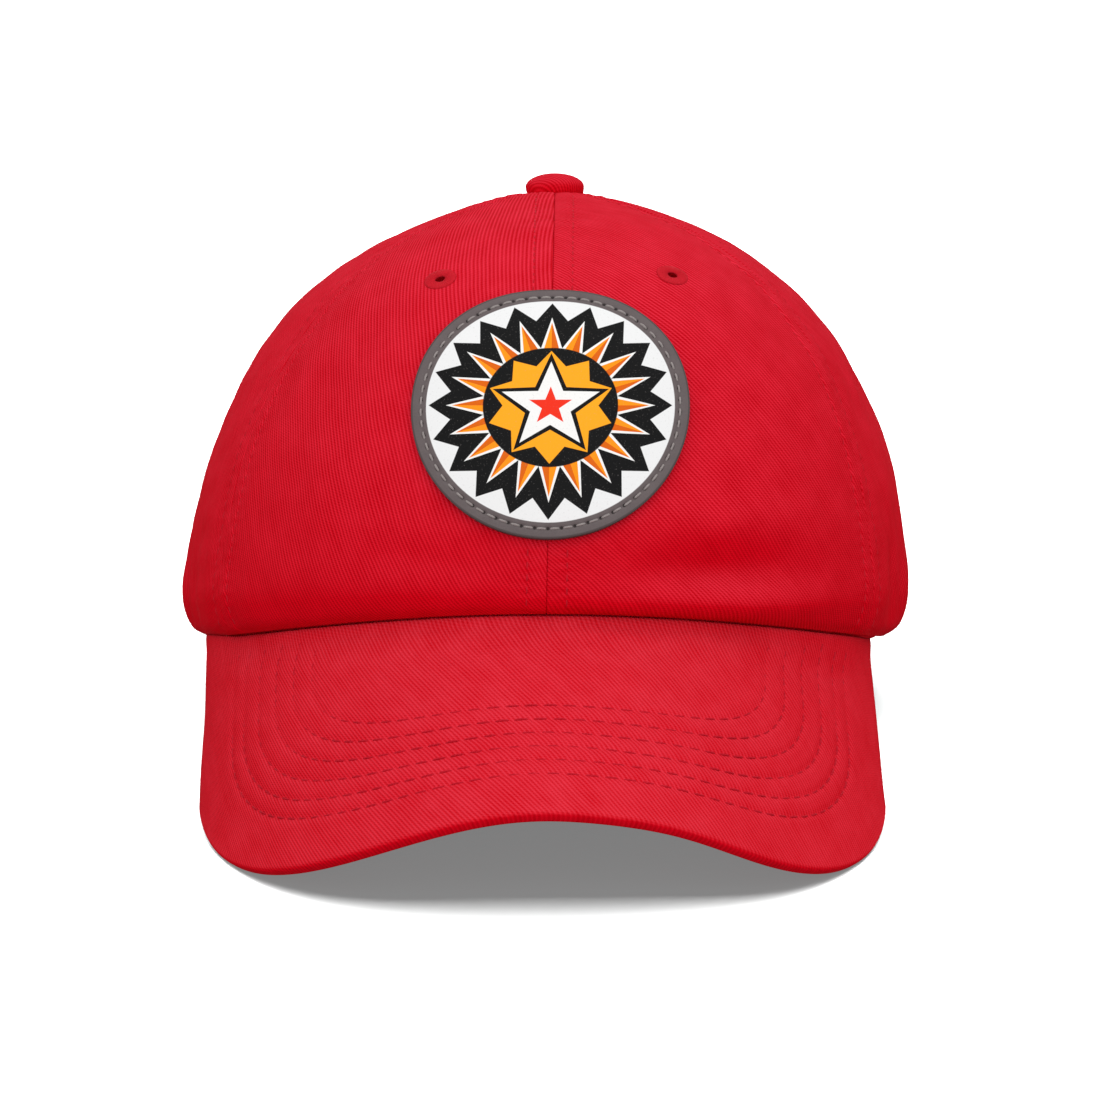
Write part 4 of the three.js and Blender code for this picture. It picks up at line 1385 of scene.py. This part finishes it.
def model_eyelet():
    """A flat sewn ring round Z, in metres, with radial ridges."""
    middle = (EYELET_RADIUS + EYELET_HOLE) / 2
    bpy.ops.object.select_all(action="DESELECT")
    bpy.ops.mesh.primitive_torus_add(
        major_radius=middle * MM, minor_radius=(EYELET_RADIUS - EYELET_HOLE) / 2 * MM,
        major_segments=4 * EYELET_STITCHES, minor_segments=14)
    ring = bpy.context.object
    edit(ring)
    bpy.ops.transform.resize(value=EYELET_SHAPE)
    bpy.ops.object.mode_set(mode="OBJECT")
    for vertex in ring.data.vertices:
        turn = math.atan2(vertex.co.y, vertex.co.x)
        ridge = EYELET_RIDGE * MM * math.cos(turn * EYELET_STITCHES)
        vertex.co.z += ridge if vertex.co.z > 0 else -ridge
    return ring


def eyelet(name):
    """A copy of the ring with its own mesh, in its place on a panel."""
    _, _, azimuth, up, _ = PANELS[name]
    piece = eyelet_model.copy()
    piece.data = eyelet_model.data.copy()
    piece.name = f"{name}_eyelet_ring"
    bpy.context.scene.collection.objects.link(piece)
    piece.data.transform(crown_frame(azimuth, up, 0.0))
    piece.data.materials.append(satin)
    piece.data.polygons.foreach_set("use_smooth", [True] * len(piece.data.polygons))
    return piece


eyelet_model = model_eyelet()
eyelets = {name: eyelet(name) for name in PANELS}
bpy.data.objects.remove(eyelet_model)
print("eyelets:", len(eyelets))

# %% [markdown]
# ## The button
# A round blank covered with the hat's twill closes the point where the six panels meet.
# It starts as a sphere, is cut off below, pressed flat, and drawn in under its edge where
# the cloth is gathered.

# %% Button
BUTTON_RADIUS = 7.1
BUTTON_TOP = 112.2
BUTTON_WALL = 1.5
BUTTON_CUT = -2.4
# The cloth is gathered into so many soft folds under the edge, and so far in and out.
BUTTON_FOLDS, BUTTON_FOLD_DEPTH = 9, 0.12
BUTTON_DRAWN_DOWN = 0.55


def button_piece():
    """The covered dome, with a shank and a foot inside the crown."""
    bpy.ops.object.select_all(action="DESELECT")
    bpy.ops.mesh.primitive_uv_sphere_add(segments=72, ring_count=36, radius=BUTTON_RADIUS)
    dome = bpy.context.object
    dome.name = "button_cloth"
    edit(dome)
    bpy.ops.mesh.bisect(
        plane_co=(0, 0, BUTTON_CUT), plane_no=(0, 0, 1), clear_inner=True, use_fill=True)
    bpy.ops.object.mode_set(mode="OBJECT")
    under = APEX_UP + GAP - 0.15
    rise = BUTTON_TOP - under
    points = np.array([vertex.co for vertex in dome.data.vertices])
    low = points[:, 2].min()
    # A pressed dome: upright sides, then an oval shoulder and top.
    share = (points[:, 2] - low) / -low
    cap = np.maximum(points[:, 2], 0) / BUTTON_RADIUS
    around = np.arctan2(points[:, 1], points[:, 0])
    reach = np.hypot(points[:, 0], points[:, 1])
    gather = BUTTON_FOLD_DEPTH * np.cos(BUTTON_FOLDS * around + 0.6)
    gather *= (1 - smooth_step(share, 0, 0.9)) * reach / BUTTON_RADIUS
    points[:, 0] = (reach + gather) * np.cos(around)
    points[:, 1] = (reach + gather) * np.sin(around)
    points[:, 2] = under + BUTTON_WALL * np.minimum(share, 1) + (rise - BUTTON_WALL) * cap
    # Its edge is drawn down until it lies on the crown.
    drawn = smooth_step(reach, 4, 6.5) * (1 - smooth_step(share, 0, 1))
    points[:, 2] -= BUTTON_DRAWN_DOWN * drawn
    # The weave runs straight over the top and down the sides.
    laid_flat = reach + 0.8 * (points[:, 2].max() - points[:, 2])
    uv = lean_ribs(laid_flat * np.cos(around), laid_flat * np.sin(around), -55)
    faces = [list(face.vertices) for face in dome.data.polygons]
    bpy.data.objects.remove(dome)
    return mesh_piece("button_cloth", settle(points), faces, uv, crown_twill)


def button_foot():
    """The shank through the apex and the flat foot that holds it from inside."""
    bpy.ops.object.select_all(action="DESELECT")
    bpy.ops.mesh.primitive_cylinder_add(vertices=48, radius=5, depth=1)
    foot = bpy.context.object
    edit(foot)
    select_faces(foot, lambda normal: normal.z > 0.9)
    bpy.ops.mesh.inset(thickness=2.8)
    bpy.ops.mesh.extrude_region_move(TRANSFORM_OT_translate={"value": (0, 0, 2.6)})
    bpy.ops.object.mode_set(mode="OBJECT")
    soft = foot.modifiers.new("soft_edges", "BEVEL")
    soft.width, soft.segments, soft.limit_method = 0.25, 3, "ANGLE"
    bpy.ops.object.modifier_apply(modifier=soft.name)
    points = np.array([vertex.co for vertex in foot.data.vertices])
    points[:, 2] += APEX_UP - CLOTH - 2 * GAP - 0.5
    faces = [list(face.vertices) for face in foot.data.polygons]
    bpy.data.objects.remove(foot)
    uv = lean_ribs(points[:, 0], points[:, 1], 20)
    piece = mesh_piece("button_foot", settle(points), faces, uv, crown_twill)
    bpy.ops.object.select_all(action="DESELECT")
    piece.select_set(True)
    bpy.context.view_layer.objects.active = piece
    bpy.ops.object.shade_smooth_by_angle(angle=SMOOTH_BELOW)
    return piece


button = button_piece()
foot = button_foot()
print("button:", len(button.data.polygons), "faces")

# %% [markdown]
# ## The patch
# A disc of grey leather, about 63.5 mm across, is stitched on close to its edge. Its
# middle is printed white with a badge. The badge here is a plain sunburst with a star,
# drawn by arithmetic on the flat millimetres of the disc, so it stays sharp at any size.

# %% Patch mesh
PATCH_THICKNESS = 1.8
PATCH_EDGE = 31.75
PATCH_STITCH_COUNT = 62
PATCH_STITCH_RADIUS = 29.35
PATCH_PRINT_RADIUS = 28
PATCH_SCALE = PATCH_RADIUS / PATCH_EDGE
PATCH_EDGE_RADIUS = 0.4
# The stitches lie in a shallow channel, which is deeper at the needle's holes.
PATCH_CHANNEL, PATCH_CHANNEL_REACH, PATCH_HOLE_DEPTH = 0.2, 0.42, 0.4


def patch_place(right, up, lift):
    """A point over the crown, from flat millimetres right and up of the patch's middle."""
    length = patch_middle + up * PATCH_SCALE
    height = np.interp(length, front_lengths, fine_heights)
    azimuth = np.degrees(right / spline(SIDE_OUT, height))
    return crown_point(azimuth, height, -lift), crown_normal(azimuth, height)


def patch_piece():
    """The leather disc: a round grid for each face, joined at the edge."""
    reach = np.concatenate([
        np.linspace(0, 27.6, 30), [28.1, 28.5, 28.8, 29.0, 29.2, 29.35, 29.5, 29.7, 29.9, 30.2],
        [30.7, 31.2, 31.36, 31.46, 31.58, 31.68, PATCH_EDGE],
    ])
    spokes = 6 * PATCH_STITCH_COUNT
    turn = np.linspace(0, 2 * np.pi, spokes, endpoint=False)
    rings, angles = np.meshgrid(reach, turn, indexing="ij")
    right, up = rings * np.sin(angles), rings * np.cos(angles)
    edge = edge_turn(PATCH_EDGE - rings, PATCH_EDGE_RADIUS)
    hole = 0.5 + 0.5 * np.cos(angles * PATCH_STITCH_COUNT)
    channel = bell(rings - PATCH_STITCH_RADIUS, PATCH_CHANNEL_REACH)
    channel *= PATCH_CHANNEL + PATCH_HOLE_DEPTH * hole**4
    faces_out = patch_place(right, up, GAP + PATCH_THICKNESS - edge - channel)[0]
    faces_in = patch_place(right, up, GAP + 0.4 * edge)[0]

    def flat(grid):
        """All points of a grid; the innermost ring is one point, so its copies are left out."""
        return np.concatenate([grid[0, :1], grid[1:].reshape(-1, grid.shape[-1])])

    points = np.concatenate([flat(faces_out), flat(faces_in)])
    uv = flat(np.stack([right, up], -1))
    rows = len(reach) - 1
    layer = 1 + rows * spokes
    at = 1 + np.arange(rows * spokes).reshape(rows, spokes)
    after = np.roll(at, -1, axis=1)
    fan = np.stack([0 * at[0], after[0], at[0]], -1)
    quads = np.stack([at[:-1], after[:-1], after[1:], at[1:]], -1).reshape(-1, 4)
    rim = np.stack([at[-1], after[-1], after[-1] + layer, at[-1] + layer], -1)
    faces = [
        *fan.tolist(), *quads.tolist(),
        *(fan[:, ::-1] + layer).tolist(), *(quads[:, ::-1] + layer).tolist(), *rim.tolist(),
    ]
    piece = mesh_piece("patch_leather", settle(points), faces, np.concatenate([uv, uv]), leather)
    face_outwards(piece)
    return piece


# %% Printed leather
# The print's edges are about 0.16 mm soft.
PRINT_SHARPNESS = 6.0
BURNISHED_FROM = 31.2
# The radius of the painted shade in each needle hole.
NEEDLE_HOLE_SHADE = 0.38
BLACK_INK, WHITE_INK = "#0A0A0B", "#E9E8E6"


def printed_leather():
    """Smooth-grained leather, its middle printed with thick ink in flat colours."""
    material, tree, shader = new_material("printed_grey_leather")
    uv = add(tree, "ShaderNodeUVMap", uv_map="cloth")
    split = add(tree, "ShaderNodeSeparateXYZ", [uv])
    reach = add(tree, "ShaderNodeVectorMath", [uv], operation="LENGTH").outputs["Value"]
    turn = add(tree, MATH, [split.outputs["X"], split.outputs["Y"]], operation="ARCTAN2")

    def inside(distance, limit):
        """1 inside the limit and 0 outside it."""
        left = add(tree, MATH, [limit, distance], operation="SUBTRACT")
        return add(tree, MATH, [left, PRINT_SHARPNESS, 0.5],
                   operation="MULTIPLY_ADD", use_clamp=True)

    def sector(count):
        """How far round a place lies in its own one of so many equal sectors, from 0 to 1."""
        turns = add(tree, MATH, [turn, count / (2 * math.pi), 0.5], operation="MULTIPLY_ADD")
        return add(tree, MATH, [turns], operation="FRACT")

    def star(points, outer, inner):
        """1 inside a star with so many points and 0 outside it."""
        half = math.pi / points
        steep = (outer - inner * math.cos(half)) / (inner * math.sin(half))
        signed = add(tree, MATH, [sector(points), 2 * half, -half], operation="MULTIPLY_ADD")
        off = add(tree, MATH, [signed], operation="ABSOLUTE")
        sine = add(tree, MATH, [off], operation="SINE")
        cosine = add(tree, MATH, [off], operation="COSINE")
        slant = add(tree, MATH, [sine, steep, cosine], operation="MULTIPLY_ADD")
        return inside(add(tree, MATH, [reach, slant], operation="MULTIPLY"), outer)

    # Leather: fine pores, cloudy grey-brown, darker towards the burnished edge.
    cloud = add(tree, NOISE, {"Vector": uv, "Scale": 0.25, "Detail": 3.0})
    grain = add(tree, NOISE, {"Vector": uv, "Scale": 2.2, "Detail": 4.0})
    pores = add(tree, "ShaderNodeTexVoronoi", {"Vector": uv, "Scale": 1.9}).outputs["Distance"]
    fine = add(tree, MATH, [grain, 0.5], operation="MULTIPLY")
    shade = add(tree, MATH, [cloud, 0.6, fine], operation="MULTIPLY_ADD")
    hide = add(tree, MIX, {0: shade, 6: linear("#544B4C"), 7: linear("#696060")},
               data_type="RGBA")

    # Every other half of a ray is shaded.
    printed = inside(reach, PATCH_PRINT_RADIUS)
    rays = star(20, 22.0, 13.2)
    ray_half = add(tree, MATH, [sector(20), 0.5], operation="GREATER_THAN")
    shaded = add(tree, MATH, [ray_half, rays], operation="MULTIPLY")
    # Ink lies thinner on the grain, so the leather greys it in fine specks.
    specks = add(tree, MATH, [grain, 0.64], operation="GREATER_THAN")
    thin = add(tree, MATH, [specks, 0.16], operation="MULTIPLY")
    worn = add(tree, MATH, [thin, printed], operation="MULTIPLY")
    # Painted shade of the needle holes: a dark spot at each end of every stitch.
    pitch = 2 * math.pi * PATCH_STITCH_RADIUS / PATCH_STITCH_COUNT
    along = add(tree, MATH, [sector(PATCH_STITCH_COUNT), pitch, -pitch / 2],
                operation="MULTIPLY_ADD")
    away = add(tree, MATH, [reach, PATCH_STITCH_RADIUS], operation="SUBTRACT")
    both = add(tree, "ShaderNodeCombineXYZ", [along, away])
    from_hole = add(tree, "ShaderNodeVectorMath", [both], operation="LENGTH").outputs["Value"]

    # From the burnished edge and the white ground to the middle of the star.
    face = hide.outputs[2]
    for mask, colour in (
            (inside(BURNISHED_FROM, reach), "#4C4444"), (printed, "#E2E2E2"),
            (star(20, 27.4, 22.6), BLACK_INK), (star(20, 23.4, 15.0), WHITE_INK),
            (rays, "#F58F10"), (shaded, "#D45F06"), (inside(reach, 15.0), BLACK_INK),
            (star(10, 14.2, 10.6), "#F7A21C"), (star(5, 13.6, 5.9), BLACK_INK),
            (star(5, 11.4, 4.7), WHITE_INK), (star(5, 5.0, 2.0), "#E62E17"),
            # The last two are worn ink and the painted shade of the needle holes.
            (worn, "#8A8482"), (inside(from_hole, NEEDLE_HOLE_SHADE), "#352F2F")):
        laid_on = add(tree, MIX, {0: mask, 6: face, 7: linear(colour)}, data_type="RGBA")
        face = laid_on.outputs[2]

    rough_grain = add(tree, MATH, [grain, 0.7], operation="MULTIPLY")
    raised = add(tree, MATH, [pores, -0.5, rough_grain], operation="MULTIPLY_ADD")
    smoother = add(tree, MATH, [printed, -0.4, 1.0], operation="MULTIPLY_ADD")
    height = add(tree, MATH, [raised, smoother], operation="MULTIPLY")
    bump = add(tree, "ShaderNodeBump",
               {"Strength": 0.45, "Distance": 0.12 * MM, "Height": height})
    roughness = add(tree, MATH, [printed, 0.1, 0.52], operation="MULTIPLY_ADD")
    tree.links.new(face, shader.inputs["Base Color"])
    tree.links.new(bump.outputs[0], shader.inputs["Normal"])
    tree.links.new(roughness.outputs[0], shader.inputs["Roughness"])
    shader.inputs["Specular IOR Level"].default_value = 0.12
    return material


leather = printed_leather()
patch = patch_piece()
print("patch:", len(patch.data.polygons), "faces")

# %% Patch stitches
ring_turns = np.linspace(0, 2 * np.pi, 721)
ring_path, ring_normals = patch_place(
    PATCH_STITCH_RADIUS * np.sin(ring_turns), PATCH_STITCH_RADIUS * np.cos(ring_turns),
    GAP + PATCH_THICKNESS - 0.12)
ring_pitch = run_along(ring_path)[-1] / PATCH_STITCH_COUNT
# Each stitch spans three quarters of the pitch, between two holes.
patch_laid = row_of_stitches(
    ring_path, ring_normals, ring_pitch, 0.74 * ring_pitch, 0.27, 0.4, 0.13 * ring_pitch)
patch_stitches = stitches("patch_stitches", patch_laid, grey_thread)
print("patch stitches:", len(patch_laid), "at", round(ring_pitch, 2), "mm")

# %% [markdown]
# ## What each piece stands for
# Every piece rides on the hat's one body, and the plain solids that it stands for are hidden.

# %% Ride and replace
ROLES = [
    *((panels[name], "crown_cloth", [f"{name}_panel"]) for name in PANELS),
    *((eyelets[name], "eyelet_thread", [f"{name}_eyelet"]) for name in PANELS),
    (button, "crown_cloth", ["button"]),
    (foot, "crown_cloth", []),
    (peak, "peak_cloth", ["peak"]),
    (sweatband, "crown_cloth", ["sweatband"]),
    (patch, "patch_leather", ["patch"]),
    (strap, "crown_cloth", ["back_strap"]),
    (buckle, "buckle_metal", ["buckle"]),
    (hem, "crown_cloth", []),
    (crown_stitches, "crown_cloth", []),
    (hem_stitches, "crown_cloth", []),
    (peak_stitches, "peak_cloth", []),
    (peak_under_stitches, "peak_cloth", []),
    (sweatband_stitches, "crown_cloth", []),
    (strap_stitches, "crown_cloth", []),
    (patch_stitches, "patch_leather", []),
]
triangles = 0
for piece, slot, nodes in ROLES:
    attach(piece, "root")
    if nodes:
        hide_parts(*nodes)
    count = sum(len(face.vertices) - 2 for face in piece.data.polygons)
    triangles += count
    print(f"{piece.name}: {count} triangles")
print("all pieces:", triangles, "triangles")
